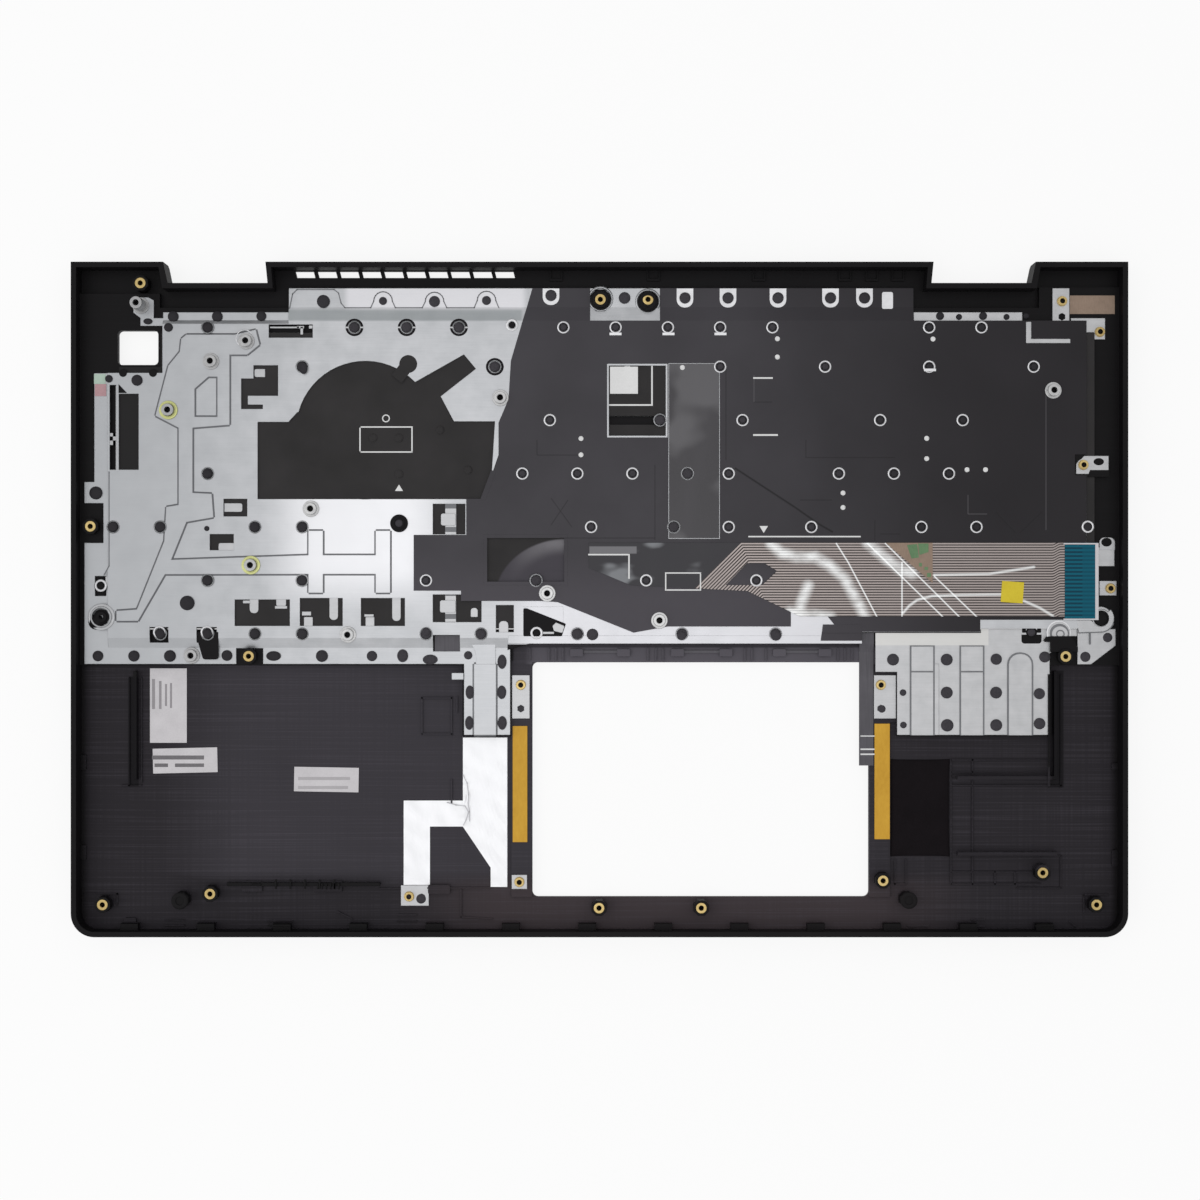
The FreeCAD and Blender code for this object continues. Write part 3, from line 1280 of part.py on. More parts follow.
def nut_places():
    """Places of the press nuts, with the height of the face that each one sits on."""
    tab_top = LEDGE_TOP + PLATE_THICKNESS
    x0, x1, y0, y1 = LOW_TAB
    nut_line = TOUCHPAD_REAR + TAB_NUT_DY
    return [
        (TOUCHPAD_LEFT - TAB_AXIS, nut_line, tab_top),
        (TOUCHPAD_RIGHT + TAB_AXIS, nut_line, tab_top),
        (TOUCHPAD_LEFT + (x0 + x1) / 2, TOUCHPAD_FRONT + (y0 + y1) / 2, tab_top),
        (TOUCHPAD_LEFT + CLIP_NUT[0], TOUCHPAD_FRONT + CLIP_NUT[1], FLOOR + CLIP_THICKNESS),
        (EDGE_TAB_LEFT + EDGE_TAB_NUT, (EDGE_TAB_FRONT + EDGE_TAB_REAR) / 2, PLATE_TOP),
        (RIGHT + SIDE_TAB_NUT[0], KEYS_FRONT + SIDE_TAB_NUT[1], FLANGE_TOP),
    ] + [(RIGHT + x, REAR + y, FLANGE_TOP) for x, y in HINGE_NUTS]


def press_nuts():
    made = []
    for x, y, seat in nut_places():
        made.append(hollow_post(x, y, NUT_RADIUS, NUT_BORE, seat, seat + NUT_HEIGHT, NUT_SIDES))
    return group(made)


# Touchpad cable: from the film down beside the opening
CABLE_SPAN = (-3.5, 1.4)
CABLE_THICKNESS = 0.2
CABLE_FRONT = 35.3
CABLE_LIFT = 0.05
CABLE_SLOPE = 3.0
CABLE_REAR = 0.3


def touchpad_cable():
    x0, x1 = CABLE_SPAN
    deck = DECK_TOP + CABLE_LIFT
    ledge = LEDGE_TOP + CABLE_LIFT
    path = [
        (TOUCHPAD_REAR - CABLE_FRONT, ledge),
        (DECK_MIDDLE_FRONT - CABLE_SLOPE, ledge),
        (DECK_MIDDLE_FRONT, deck),
        (KEYS_FRONT + CABLE_REAR, deck),
    ]
    return folded_sheet(path, CABLE_THICKNESS, TOUCHPAD_RIGHT + x0, TOUCHPAD_RIGHT + x1)


# Adhesive strips and foam pad, as (x0, x1, y0, y1) from the rear corners of the touchpad opening
LEFT_ADHESIVE = (-6.7, -1.7, -61.5, -21.8)
RIGHT_ADHESIVE = (1.8, 7.0, -60.5, -21.0)
PAD_WIDE = 20.5
PAD_SPAN = (-66.6, -33.1)


def adhesive_strips():
    strips = []
    for edge, (x0, x1, y0, y1) in ((TOUCHPAD_LEFT, LEFT_ADHESIVE), (TOUCHPAD_RIGHT, RIGHT_ADHESIVE)):
        plan = (edge + x0, edge + x1, TOUCHPAD_REAR + y0, TOUCHPAD_REAR + y1)
        strips.append(box(*plan, LEDGE_TOP, LEDGE_TOP + ADHESIVE_THICKNESS))
    return group(strips)


def foam_pad():
    x0 = TOUCHPAD_RIGHT + LEDGE_SIDE
    y0, y1 = (TOUCHPAD_REAR + y for y in PAD_SPAN)
    return box(x0, x0 + PAD_WIDE, y0, y1, FLOOR, FLOOR + PAD_THICKNESS)


# Labels on the palm floor, as (x0, x1, y0, y1) from the left wall and the key front, with their turn
LARGE_LABEL = (25.2, 37.8, -37.4, -11.9)
MEDIUM_LABEL = (26.2, 48.3, -47.7, -39.2)
SMALL_LABEL = (74.6, 96.7, -54.2, -45.8)
MEDIUM_LABEL_TURN = 1.3
SMALL_LABEL_TURN = -1.0
# Tapes at the rear right corner and on the left flange
CORNER_TAPE = (-18.7, -3.3, -17.0, -10.7)
EDGE_TAPE = (-6.5, -2.6, -23.3, -19.2)


def label(plan, degrees):
    x0, x1, y0, y1 = plan
    x, y = LEFT, KEYS_FRONT
    return turned_plate(x + x0, x + x1, y + y0, y + y1, FLOOR, TAPE_THICKNESS, degrees)


def conductive_tape():
    x0, x1, y0, y1 = CORNER_TAPE
    return box(RIGHT + x0, RIGHT + x1, REAR + y0, REAR + y1, DECK_TOP, DECK_TOP + TAPE_THICKNESS)


def edge_tape():
    x0, x1, y0, y1 = EDGE_TAPE
    x, y = KEYS_LEFT, KEYS_REAR
    return box(x + x0, x + x1, y + y0, y + y1, FLANGE_TOP, FLANGE_TOP + TAPE_THICKNESS)


def key_nodes():
    """All key caps by node: one solid for an unlike key, a group for like ones."""
    nodes = {}
    for cell in CELLS:
        nodes.setdefault(cell[0], []).append(key_cap(cell))
    return {name: caps[0] if len(caps) == 1 else group(caps) for name, caps in nodes.items()}


NODES = {
    "palm_rest_cover": palm_rest_cover(),
    "keyboard_support_plate": keyboard_support_plate(),
    "insulation_film": insulation_film(),
    "keyboard_membrane": sheet(DECK_TOP, MEMBRANE_TOP),
    "keyboard_base_plate": sheet(MEMBRANE_TOP, BASE_TOP),
    "backlight_sheet": sheet(BASE_TOP, PLATE_BOTTOM),
    "rubber_domes": group([dome(cell) for cell in CELLS]),
    "keyboard_ribbon": keyboard_ribbon(),
    "ribbon_stiffener": ribbon_stiffener(),
    "backlight_tail": backlight_tail(),
    "backlight_driver": backlight_driver(),
    "threaded_inserts": threaded_inserts(),
    "plate_standoffs": plate_standoffs(),
    "press_nuts": press_nuts(),
    "touchpad_side_bracket": touchpad_side_bracket(),
    "touchpad_tabs": touchpad_tabs(),
    "touchpad_cable": touchpad_cable(),
    "ground_foil": ground_foil(),
    "ground_clip": ground_clip(),
    "adhesive_strips": adhesive_strips(),
    "foam_pad": foam_pad(),
    "label_large": label(LARGE_LABEL, 0),
    "label_medium": label(MEDIUM_LABEL, MEDIUM_LABEL_TURN),
    "label_small": label(SMALL_LABEL, SMALL_LABEL_TURN),
    "hinge_bracket": hinge_bracket(),
    "side_brackets": side_brackets(),
    "conductive_tape": conductive_tape(),
    "edge_tape": edge_tape(),
    "yellow_tape": yellow_tape(),
    "ribbon_tape": ribbon_tape(),
}
NODES.update(key_nodes())

os.makedirs("parts", exist_ok=True)
for node, shape in NODES.items():
    shape.exportStep("parts/" + node + ".step")
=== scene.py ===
# %% [markdown]
# A laptop palm rest, seen from the inside.
# The CAD frame brings every rigid piece at its true size: the moulded cover, the pressed steel plate,
# the films, the keys. This lesson dresses that frame. We load it first and keep its box, so that at
# the end we can see that nothing has grown past the real part. The heights of its main faces are
# named once, because most small pieces lie on one of them.

import math

import bmesh
import bpy
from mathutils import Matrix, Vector
from mathutils.bvhtree import BVHTree


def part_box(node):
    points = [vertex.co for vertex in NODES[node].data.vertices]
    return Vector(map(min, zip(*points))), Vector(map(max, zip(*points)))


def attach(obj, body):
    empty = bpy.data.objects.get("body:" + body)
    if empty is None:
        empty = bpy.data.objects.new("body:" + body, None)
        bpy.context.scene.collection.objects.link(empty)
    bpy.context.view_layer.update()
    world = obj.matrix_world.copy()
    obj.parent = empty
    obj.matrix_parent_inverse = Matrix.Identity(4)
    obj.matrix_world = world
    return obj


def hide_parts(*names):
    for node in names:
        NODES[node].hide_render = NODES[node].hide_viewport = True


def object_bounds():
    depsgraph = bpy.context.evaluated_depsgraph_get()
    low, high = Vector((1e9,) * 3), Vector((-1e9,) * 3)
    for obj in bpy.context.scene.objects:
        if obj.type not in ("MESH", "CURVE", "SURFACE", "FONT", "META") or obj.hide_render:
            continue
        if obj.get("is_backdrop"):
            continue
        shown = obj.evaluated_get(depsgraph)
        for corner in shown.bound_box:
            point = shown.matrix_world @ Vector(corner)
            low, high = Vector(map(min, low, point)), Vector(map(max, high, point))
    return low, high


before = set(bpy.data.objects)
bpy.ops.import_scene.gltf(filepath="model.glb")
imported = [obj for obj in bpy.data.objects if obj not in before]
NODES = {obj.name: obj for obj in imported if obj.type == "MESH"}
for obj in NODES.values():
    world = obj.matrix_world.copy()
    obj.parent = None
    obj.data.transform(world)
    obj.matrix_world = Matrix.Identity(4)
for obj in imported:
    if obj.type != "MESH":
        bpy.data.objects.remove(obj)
cad_low, cad_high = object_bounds()
BODY = "palm_rest"
MM = 0.001

# Heights of the faces that carry small pieces, in mm
FLOOR_TOP = 1.6
DECK_TOP = 3.6
FLANGE_TOP = 4.1
RAISED_FLANGE = 4.4
SHEET_TOP = 4.6
PLATE_TOP = 5.1
FILM_TOP = 5.3
RAISED_TOP = 5.4
RIBBON_TOP = 5.5
print("frame", len(NODES), "nodes,", [round(v / MM, 1) for v in cad_high - cad_low], "mm")

# %% [markdown]
# The photograph looks straight down from a little over half a metre, so low faces look slightly
# smaller than high ones. One function turns a pixel of the picture into a place on the part: it
# drops a ray through the pixel and asks the CAD solids how high they stand there. Each small piece
# that is placed one by one then sits on what carries it, from every side.

# %% Camera and pixel places
CAMERA_HEIGHT = 579.0
PIXEL_SLOPE = 0.0005936
PIXEL_MIDDLE = 599.5
PIXEL_SIDE = PIXEL_SLOPE * CAMERA_HEIGHT
IMAGE_SIDE = 1200
FIRST_GUESS = 4.0
SKY = 0.05
FILM_REACH = 2.9


def add(name, data):
    """A new object in the scene."""
    made = bpy.data.objects.new(name, data)
    bpy.context.scene.collection.objects.link(made)
    return made


def look_down(px, py, z):
    """Place in mm, at height z, that a pixel of the photograph shows."""
    reach = PIXEL_SLOPE * (CAMERA_HEIGHT - z)
    return (px - PIXEL_MIDDLE) * reach, (PIXEL_MIDDLE - py) * reach


def solid_tree(names):
    points, faces = [], []
    for name in names:
        start = len(points)
        mesh = NODES[name].data
        points += [v.co.copy() for v in mesh.vertices]
        faces += [[start + i for i in face.vertices] for face in mesh.polygons]
    return BVHTree.FromPolygons(points, faces)


CARRIERS = solid_tree([name for name in NODES if not name.startswith("key_")])
FILM_TREE = solid_tree(["insulation_film"])


def plumb(tree, x, y):
    """Where a plumb line at a place in mm first meets a tree of solids, or None."""
    return tree.ray_cast(Vector((x * MM, y * MM, SKY)), Vector((0, 0, -1)))[0]


def height_at(x, y):
    """Height in mm of the highest solid at a place in mm, or 0 over an opening."""
    hit = plumb(CARRIERS, x, y)
    return hit.z / MM if hit else 0.0


def four_sides(x, y, reach):
    return [(x + reach, y), (x - reach, y), (x, y + reach), (x, y - reach)]


def on_film(x, y):
    """True where film lies on two or more sides of a place."""
    hits = [plumb(FILM_TREE, *side) for side in four_sides(x, y, FILM_REACH)]
    return sum(hit is not None for hit in hits) > 1


def spot(px, py):
    """Place (x, y, z) in mm of what a pixel of the photograph shows."""
    z = FIRST_GUESS
    for _ in range(3):
        x, y = look_down(px, py, z)
        z = height_at(x, y)
    return x, y, z


camera = add("camera", bpy.data.cameras.new("camera"))
half_pixel = (IMAGE_SIDE / 2 - PIXEL_MIDDLE) * PIXEL_SIDE * MM
camera.location = (half_pixel, -half_pixel, CAMERA_HEIGHT * MM)
camera.data.angle = 2 * math.atan(PIXEL_SLOPE * IMAGE_SIDE / 2)
camera.data.clip_start = 0.01
bpy.context.scene.camera = camera
bpy.context.scene.view_settings.view_transform = "Standard"
print("camera", round(math.degrees(camera.data.angle), 1), "degrees wide")

# %% [markdown]
# Light is plain: an even pale surround, a soft panel overhead that the steel mirrors in its middle,
# and a larger one from the left, which gives edges and stakes their shade. A colour looks about
# as it is written. The floor and the surround are white to the eye and in a mirror through Light
# Path, which leaves the light that falls on the part itself alone. From below, and for stray light,
# the floor is clear, so that the keys on the lower face can be looked at too.

# %% Light and floor
SURROUND = 0.66
TOP_PANEL = (0.6, 1.6, (0.0, -0.05, 1.3))
SIDE_PANEL = (1.6, 6.0, (-1.3, -0.2, 1.0))
FLOOR_SIDE = 8.0
FLOOR_DROP = 0.00005
FLOOR_SHADE = 0.15


class Wire:
    """One output socket of a node, which can stand in a sum."""

    def __init__(self, graph, socket):
        self.graph = graph
        self.socket = socket

    def __add__(self, other):
        return self.graph.math("ADD", self, other)

    __radd__ = __add__

    def __mul__(self, other):
        return self.graph.math("MULTIPLY", self, other)

    __rmul__ = __mul__

    def __sub__(self, other):
        return self.graph.math("SUBTRACT", self, other)

    def __rsub__(self, other):
        return self.graph.math("SUBTRACT", other, self)

    def __truediv__(self, other):
        return self.graph.math("DIVIDE", self, other)

    def __abs__(self):
        return self.graph.math("ABSOLUTE", self, 0.0)

    def __gt__(self, other):
        return self.graph.math("GREATER_THAN", self, other)

    def __lt__(self, other):
        return self.graph.math("LESS_THAN", self, other)


class Graph:
    """A node tree with one way to add a node."""

    def __init__(self, tree):
        self.tree = tree

    def node(self, kind, settings=None, sockets=None, out=0):
        made = self.tree.nodes.new(kind)
        for name, value in (settings or {}).items():
            setattr(made, name, value)
        for name, value in (sockets or {}).items():
            if isinstance(value, Wire):
                self.tree.links.new(value.socket, made.inputs[name])
            else:
                made.inputs[name].default_value = value
        return Wire(self, made.outputs[out]) if len(made.outputs) else made

    def math(self, operation, first, second):
        return self.node("ShaderNodeMath", {"operation": operation}, {0: first, 1: second})

    def limit(self, value):
        return self.node("ShaderNodeClamp", None, {0: value})

    def mix(self, share, first, second):
        return self.node("ShaderNodeMix", {"data_type": "RGBA"}, {0: share, 6: first, 7: second}, out=2)

    def step(self, value, low, high):
        """0 below low, 1 above high and smooth between."""
        sockets = {"Value": value, "From Min": low, "From Max": high}
        return self.node("ShaderNodeMapRange", {"interpolation_type": "SMOOTHSTEP"}, sockets)

    def other(self, wire, name):
        return Wire(self, wire.socket.node.outputs[name])


def bare_tree(owner):
    """The emptied node tree of a world or a material."""
    owner.use_nodes = True
    owner.node_tree.nodes.clear()
    return owner.node_tree


def tone(red, green, blue):
    """A colour as it is read off a screen, made linear."""
    linear = []
    for value in (red, green, blue):
        share = value / 255
        linear.append(share / 12.92 if share < 0.04045 else ((share + 0.055) / 1.055) ** 2.4)
    return (*linear, 1.0)


def seen_white(graph):
    """1 for what the eye sees straight, in a mirror or through glass, and 0 for light on the part."""
    path = graph.node("ShaderNodeLightPath", out="Is Camera Ray")
    mirror = graph.other(path, "Is Glossy Ray")
    through = graph.other(path, "Is Transmission Ray")
    return graph.limit(path + mirror + through)


world = bpy.data.worlds.new("surround")
bpy.context.scene.world = world
sky = Graph(bare_tree(world))
strength = SURROUND + seen_white(sky) * (1 - SURROUND)
glow = sky.node("ShaderNodeBackground", None, {"Color": (1, 1, 1, 1), "Strength": strength})
sky.node("ShaderNodeOutputWorld", None, {"Surface": glow})

for name, (side, power, place) in {"top_panel": TOP_PANEL, "side_panel": SIDE_PANEL}.items():
    lamp = bpy.data.lights.new(name, "AREA")
    lamp.size = side
    lamp.energy = power
    panel = add(name, lamp)
    panel.location = place
    panel.rotation_euler = Vector(place).to_track_quat("Z", "Y").to_euler()

floor_mesh = bpy.data.meshes.new("floor")
half = FLOOR_SIDE / 2
corners = [(x * half, y * half, -FLOOR_DROP) for x, y in ((-1, -1), (1, -1), (1, 1), (-1, 1))]
floor_mesh.from_pydata(corners, [], [(0, 1, 2, 3)])
floor = add("floor", floor_mesh)
floor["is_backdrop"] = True
floor_material = bpy.data.materials.new("pale_floor")
ground = Graph(bare_tree(floor_material))
matt = ground.node("ShaderNodeBsdfDiffuse", None, {"Color": (0.95, 0.95, 0.95, 1)})
white = ground.node("ShaderNodeEmission", None, {"Color": (1, 1, 1, 1), "Strength": 1.0})
share = seen_white(ground) * (1 - FLOOR_SHADE)
blend = ground.node("ShaderNodeMixShader", None, {0: share, 1: matt, 2: white})
below = ground.node("ShaderNodeNewGeometry", out="Backfacing")
stray = ground.node("ShaderNodeLightPath", out="Is Diffuse Ray")
clear = ground.node("ShaderNodeBsdfTransparent")
shown = ground.node("ShaderNodeMixShader", None, {0: ground.limit(below + stray), 1: blend, 2: clear})
ground.node("ShaderNodeOutputMaterial", None, {"Surface": shown})
floor.data.materials.append(floor_material)
print("light", TOP_PANEL[1], "and", SIDE_PANEL[1], "W panels,", SURROUND, "surround")

# %% [markdown]
# Finishes come next, because each piece takes one as it is made. A small class holds a material and
# its coordinates in millimetres, so a grain of 0.3 is a grain of 0.3 mm. Bevel into Normal rounds
# the sharp CAD edges to the eye, and Bump adds the moulded or rolled texture on top of that.

# %% Finish helper
class Finish(Graph):
    """A material whose patterns lie on the part's own coordinates, in mm."""

    made = {}

    def __init__(self, name):
        material = bpy.data.materials.new(name)
        super().__init__(bare_tree(material))
        Finish.made[name] = material
        metres = self.node("ShaderNodeTexCoord", out="Object")
        self.place = self.node("ShaderNodeVectorMath", {"operation": "SCALE"},
                               {0: metres, "Scale": 1 / MM})
        self.x = self.node("ShaderNodeSeparateXYZ", None, {0: self.place})
        self.y = self.other(self.x, 1)
        self.z = self.other(self.x, 2)

    def noise(self, size, detail=2.0, stretch=(1, 1, 1)):
        """Random values about 0.5, in grains about size mm across."""
        where = self.node("ShaderNodeVectorMath", {"operation": "MULTIPLY"}, {0: self.place, 1: stretch})
        return self.node("ShaderNodeTexNoise", None,
                         {"Vector": where, "Scale": 1 / size, "Detail": detail})

    def relief(self, height, depth, edge):
        """Bumps of a depth, on faces whose edges look rounded, both in mm."""
        soft = self.node("ShaderNodeBevel", {"samples": 4}, {"Radius": edge * MM})
        sockets = {"Height": height, "Distance": depth * MM, "Strength": 1.0, "Normal": soft}
        return self.node("ShaderNodeBump", None, sockets)

    def coat(self, share, colour):
        """Lay a colour over the shade so far."""
        self.shade = self.mix(share, self.shade, colour)

    def finish(self, rough, normal, gloss=0.5, metal=0.0):
        sockets = {"Base Color": self.shade, "Roughness": rough, "Metallic": metal}
        sockets.update({"Normal": normal, "Specular IOR Level": gloss})
        surface = self.node("ShaderNodeBsdfPrincipled", None, sockets)
        self.node("ShaderNodeOutputMaterial", None, {"Surface": surface})


def dress(finish_name, *nodes):
    """Give CAD nodes one finish."""
    for node in nodes:
        slots = NODES[node].data.materials
        slots.clear()
        slots.append(Finish.made[finish_name])
    print(finish_name, "on", len(nodes), "nodes")


# %% [markdown]
# The cover is black plastic, moulded in one shot. Its tall walls and deck are nearly black, while the
# wide palm floor has a finer spark texture and looks a little paler, with faint straight drag lines
# from the tool. Height picks between the two, so one material serves the whole moulding. Painted
# shade darkens the floor towards the left, the right bay and the front, and gives way to a paler,
# warmer tone in the middle of the front. Two narrow slots in the floor are deeper, and their shade is
# painted darker. The melted stakes are the same plastic, only rougher, and painted darker as shade
# towards the left end and the front right.

# %% Moulded cover
SLOTS = [((129.5, 677.5), (138, 785.4)), ((1050.8, 671.5), (1062.7, 786.5))]
CALM_RIBS = [((948, 768), (1049, 784)), ((948, 842), (1064, 866))]

# Bands in mm, each from where a tone starts to where it is full
DECK_BAND = (2.5, 3.3)
FRONT_BAND = (-92, -100)
RIGHT_BAND = (60, 120)
LEFT_BAND = (-120, -155)
REAR_BORDER = (95, 99)
SIDE_BORDER = (174.5, 177.5)
WARM_MIDDLE = 30
WARM_BAND = (105, 60)
SHELF_MIDDLE = (35, -19.3)
SHELF_LENGTH = (61, 58)
SHELF_WIDTH = (3.1, 2.6)


def in_box(graph, start, end, z, blur):
    """1 inside the box between two pixels at height z, falling to 0 over blur mm at its border."""
    x0, y0 = look_down(*start, z)
    x1, y1 = look_down(*end, z)
    across = abs(graph.x - (x0 + x1) / 2) - abs(x1 - x0) / 2
    along = abs(graph.y - (y0 + y1) / 2) - abs(y1 - y0) / 2
    return graph.step(across, blur, 0.0) * graph.step(along, blur, 0.0)


cover = Finish("cover_plastic")
grain = cover.noise(0.3, 3)
patches = cover.noise(45, 3)
drag = cover.noise(0.5, 2, (0.01, 1, 1)) * 0.75 + cover.noise(0.6, 2, (1, 0.01, 1)) * 0.25
calm = sum([in_box(cover, start, end, FLOOR_TOP, 1.0) for start, end in CALM_RIBS], 0.0)
raised = cover.step(cover.z, *DECK_BAND) * (1 - calm)
front = cover.step(cover.y, *FRONT_BAND)
bay = cover.step(cover.x, *RIGHT_BAND)
border = cover.limit(cover.step(cover.y, *REAR_BORDER) + cover.step(abs(cover.x), *SIDE_BORDER))
left = cover.step(cover.x, *LEFT_BAND)
middle = front * cover.step(abs(cover.x - WARM_MIDDLE), *WARM_BAND)
slots = sum([in_box(cover, start, end, FLOOR_TOP, 0.6) for start, end in SLOTS], 0.0)
shelf = cover.step(abs(cover.x - SHELF_MIDDLE[0]), *SHELF_LENGTH)
shelf = shelf * cover.step(abs(cover.y - SHELF_MIDDLE[1]), *SHELF_WIDTH)
cover.shade = cover.mix(patches, tone(50, 48, 53), tone(64, 61, 67))
# Painted shade towards the front, the right bay and the left
cover.coat(cover.limit(front + bay + left) * 0.8, tone(32, 29, 33))
# In the middle of the front the painted shade gives way to a paler, warmer tone
cover.coat(middle * 0.8, tone(66, 58, 61))
cover.coat(cover.limit((drag - 0.5) * 1.2), tone(84, 80, 88))
cover.coat(cover.limit(raised + border) * 0.92, tone(10, 9, 10))
# Painted shade in the two deep slots
cover.coat(slots * 0.8, tone(10, 8, 12))
cover.coat(shelf, cover.mix(patches, tone(72, 69, 76), tone(98, 95, 102)))
bumps = cover.relief(grain, 0.02, 0.3)
cover.finish(0.42 + 0.2 * patches, bumps, gloss=0.1)
dress("cover_plastic", "palm_rest_cover")

DARK_LEFT = (-60, -120)
DARK_RIGHT = (60, 110)
DARK_REAR = (-8, -2)
stake = Finish("stake_plastic")
pits = stake.noise(0.5, 3)
# Painted shade: darker towards the left end, and at the right towards the front
far_right = stake.step(stake.x, *DARK_RIGHT) * stake.step(stake.y, *DARK_REAR)
shaded_ends = stake.limit(stake.step(stake.x, *DARK_LEFT) + far_right)
stake.shade = stake.mix(pits, tone(46, 44, 48), tone(74, 72, 77))
stake.coat(shaded_ends * 0.7, tone(34, 33, 36))
bumps = stake.relief(pits, 0.05, 0.2)
stake.finish(0.5 + 0.2 * pits, bumps, gloss=0.12)

# %% [markdown]
# Galvanised sheet has a pale zinc skin: soft patches a few millimetres across, rolling lines in one
# direction and dull spots where it was handled. The pressed plate, its brackets and the turned
# stand-offs are all steel, each with its own tone, and the pressed slopes are a darker grey that is
# painted shade, so one function makes them all. Every steel is painted darker towards the left as
# shade. The plate mirrors the lamp in its middle, and left of that a painted reflection of the lamp
# lies in its colour; its rear flange and front are painted paler as light, and its bend darker as
# shade.

# %% Steel sheet
LEFT_SHADE_BAND = (-90, -165)
# Painted light and shade on the plate: a reflection of the lamp, a paler rear flange and front, a darker
# bend
PLATE_LIGHT_AND_SHADE = [
    ((320, 490), (400, 560), 22.0, 0.75, tone(220, 220, 223)),
    ((350, 286), (520, 305), 3.0, 0.7, tone(207, 206, 210)),
    ((290, 311), (520, 319), 1.2, 0.6, tone(136, 142, 144)),
    ((540, 610), (860, 645), 12.0, 0.45, tone(208, 207, 212)),
]


def steel_sheet(name, light, dark, rough, spangle_size, edge, light_and_shade=()):
    light, dark = tone(*light), tone(*dark)
    steel = Finish(name)
    spangle = steel.noise(spangle_size, 3)
    rolled = steel.noise(0.35, 2, (0.03, 1, 1))
    stain = steel.step(steel.noise(26, 4), 0.52, 0.72)
    share = steel.limit(spangle * 0.9 + rolled * 0.35 - 0.12)
    steel.shade = steel.mix(share, dark, light)
    steel.coat(stain * 0.3, dark)
    # Painted shade, darker towards the left
    steel.coat(steel.step(steel.x, *LEFT_SHADE_BAND) * 0.75, dark)
    # Painted light and shade in boxes on the plate
    for start, end, blur, weight, painted_tone in light_and_shade:
        steel.coat(in_box(steel, start, end, PLATE_TOP, blur) * weight, painted_tone)
    bumps = steel.relief(rolled * 0.4 + spangle, 0.012, edge)
    steel.finish(rough + 0.16 * spangle, bumps, metal=0.8)


steel_sheet("support_steel", (188, 189, 192), (154, 156, 159), 0.3, 6, 0.3, PLATE_LIGHT_AND_SHADE)
steel_sheet("bracket_steel", (188, 188, 190), (158, 159, 161), 0.32, 4, 0.3)
# A darker steel as painted shade, for slopes, bends, the bowl and under the lug's arm
steel_sheet("pressed_steel", (126, 127, 130), (98, 99, 102), 0.5, 3, 0.02)
steel_sheet("standoff_steel", (200, 200, 200), (140, 140, 141), 0.24, 1.5, 0.1)
steel_sheet("rim_steel", (220, 220, 222), (184, 184, 187), 0.3, 3, 0.02)
steel_sheet("plated_steel", (206, 208, 150), (168, 170, 112), 0.3, 3, 0.1)
dress("support_steel", "keyboard_support_plate")
dress("bracket_steel", "touchpad_side_bracket", "touchpad_tabs", "hinge_bracket", "side_brackets",
      "ground_clip")

# %% [markdown]
# The insulation film is thin charcoal plastic glued over the plate. It is smooth but never quite
# flat, so broad gentle waves move its highlights, and one long crease crosses it. The same waves also
# paint a soft sheen into its colour, the crease is painted dark as shade, and the film is painted
# darker towards the right as shade. The backlight sheet under the fan-shaped opening is the same
# black family, only duller, painted darker at the left as shade, with a painted glossy sheen and
# highlight arc in the window.

# %% Films
CREASE = [(735, 468), (795.5, 507.5), (819, 524), (833, 532)]
FILM_LINES = [
    ((805, 457.5), (895, 457.5)), ((806, 440), (806, 457)), ((996, 512), (1016, 533)),
    ((1042, 512), (1020, 533)), ((726, 364), (726, 460)), ((551, 498), (572, 527)),
    ((568, 500), (551, 525)), ((537, 455), (580, 455)), ((537, 440), (537, 455)),
    ((655, 465), (655, 540)), ((560, 538), (655, 538)), ((754, 402), (772, 402)),
    ((800, 500), (832, 500)), ((875, 520), (875, 541)), ((880, 534), (900, 534)),
]
FILM_GLINTS = [
    ((968, 495), (968, 514)), ((968, 514), (987, 514)), ((754, 375), (754, 402)),
    ((1046, 395), (1046, 530)),
]


def near_line(graph, start, end, width):
    """1 on the straight line between two places in mm, falling to 0 at width from it."""
    length = math.hypot(end[0] - start[0], end[1] - start[1])
    along_x, along_y = (end[0] - start[0]) / length, (end[1] - start[1]) / length
    across = (graph.x - start[0]) * -along_y + (graph.y - start[1]) * along_x
    along = (graph.x - start[0]) * along_x + (graph.y - start[1]) * along_y
    inside = (along > 0.0) * (along < length)
    return graph.limit(1 - abs(across) / width) * inside


def near_lines(graph, lines, z, width):
    """The sum of near_line over pairs of pixels on the face at height z."""
    return sum([near_line(graph, look_down(*a, z), look_down(*b, z), width) for a, b in lines], 0.0)


def near_path(graph, pixels, z, width):
    """1 on a path through pixels, falling softly to 0 at width from it, with round joints and ends."""
    path = [look_down(*pixel, z) for pixel in pixels]
    nearest = None
    for (x0, y0), (x1, y1) in zip(path, path[1:]):
        run_x, run_y = x1 - x0, y1 - y0
        away_x, away_y = graph.x - x0, graph.y - y0
        share = graph.limit((away_x * run_x + away_y * run_y) / (run_x * run_x + run_y * run_y))
        off_x, off_y = away_x - share * run_x, away_y - share * run_y
        away = graph.math("SQRT", off_x * off_x + off_y * off_y, 0.0)
        nearest = away if nearest is None else graph.math("MINIMUM", nearest, away)
    return graph.step(nearest, width, 0.0)


FILM_RIGHT = (20, 140)
FILM_FRONT = (20, -2)
film = Finish("film_black")
waves = film.noise(30, 2)
scuff = film.noise(2.5, 4)
right = film.step(film.x, *FILM_RIGHT)
front = film.step(film.y, *FILM_FRONT) * (1 - right)
# The waves also paint a soft sheen into the colour
film.shade = film.mix(waves, tone(48, 46, 50), tone(70, 68, 73))
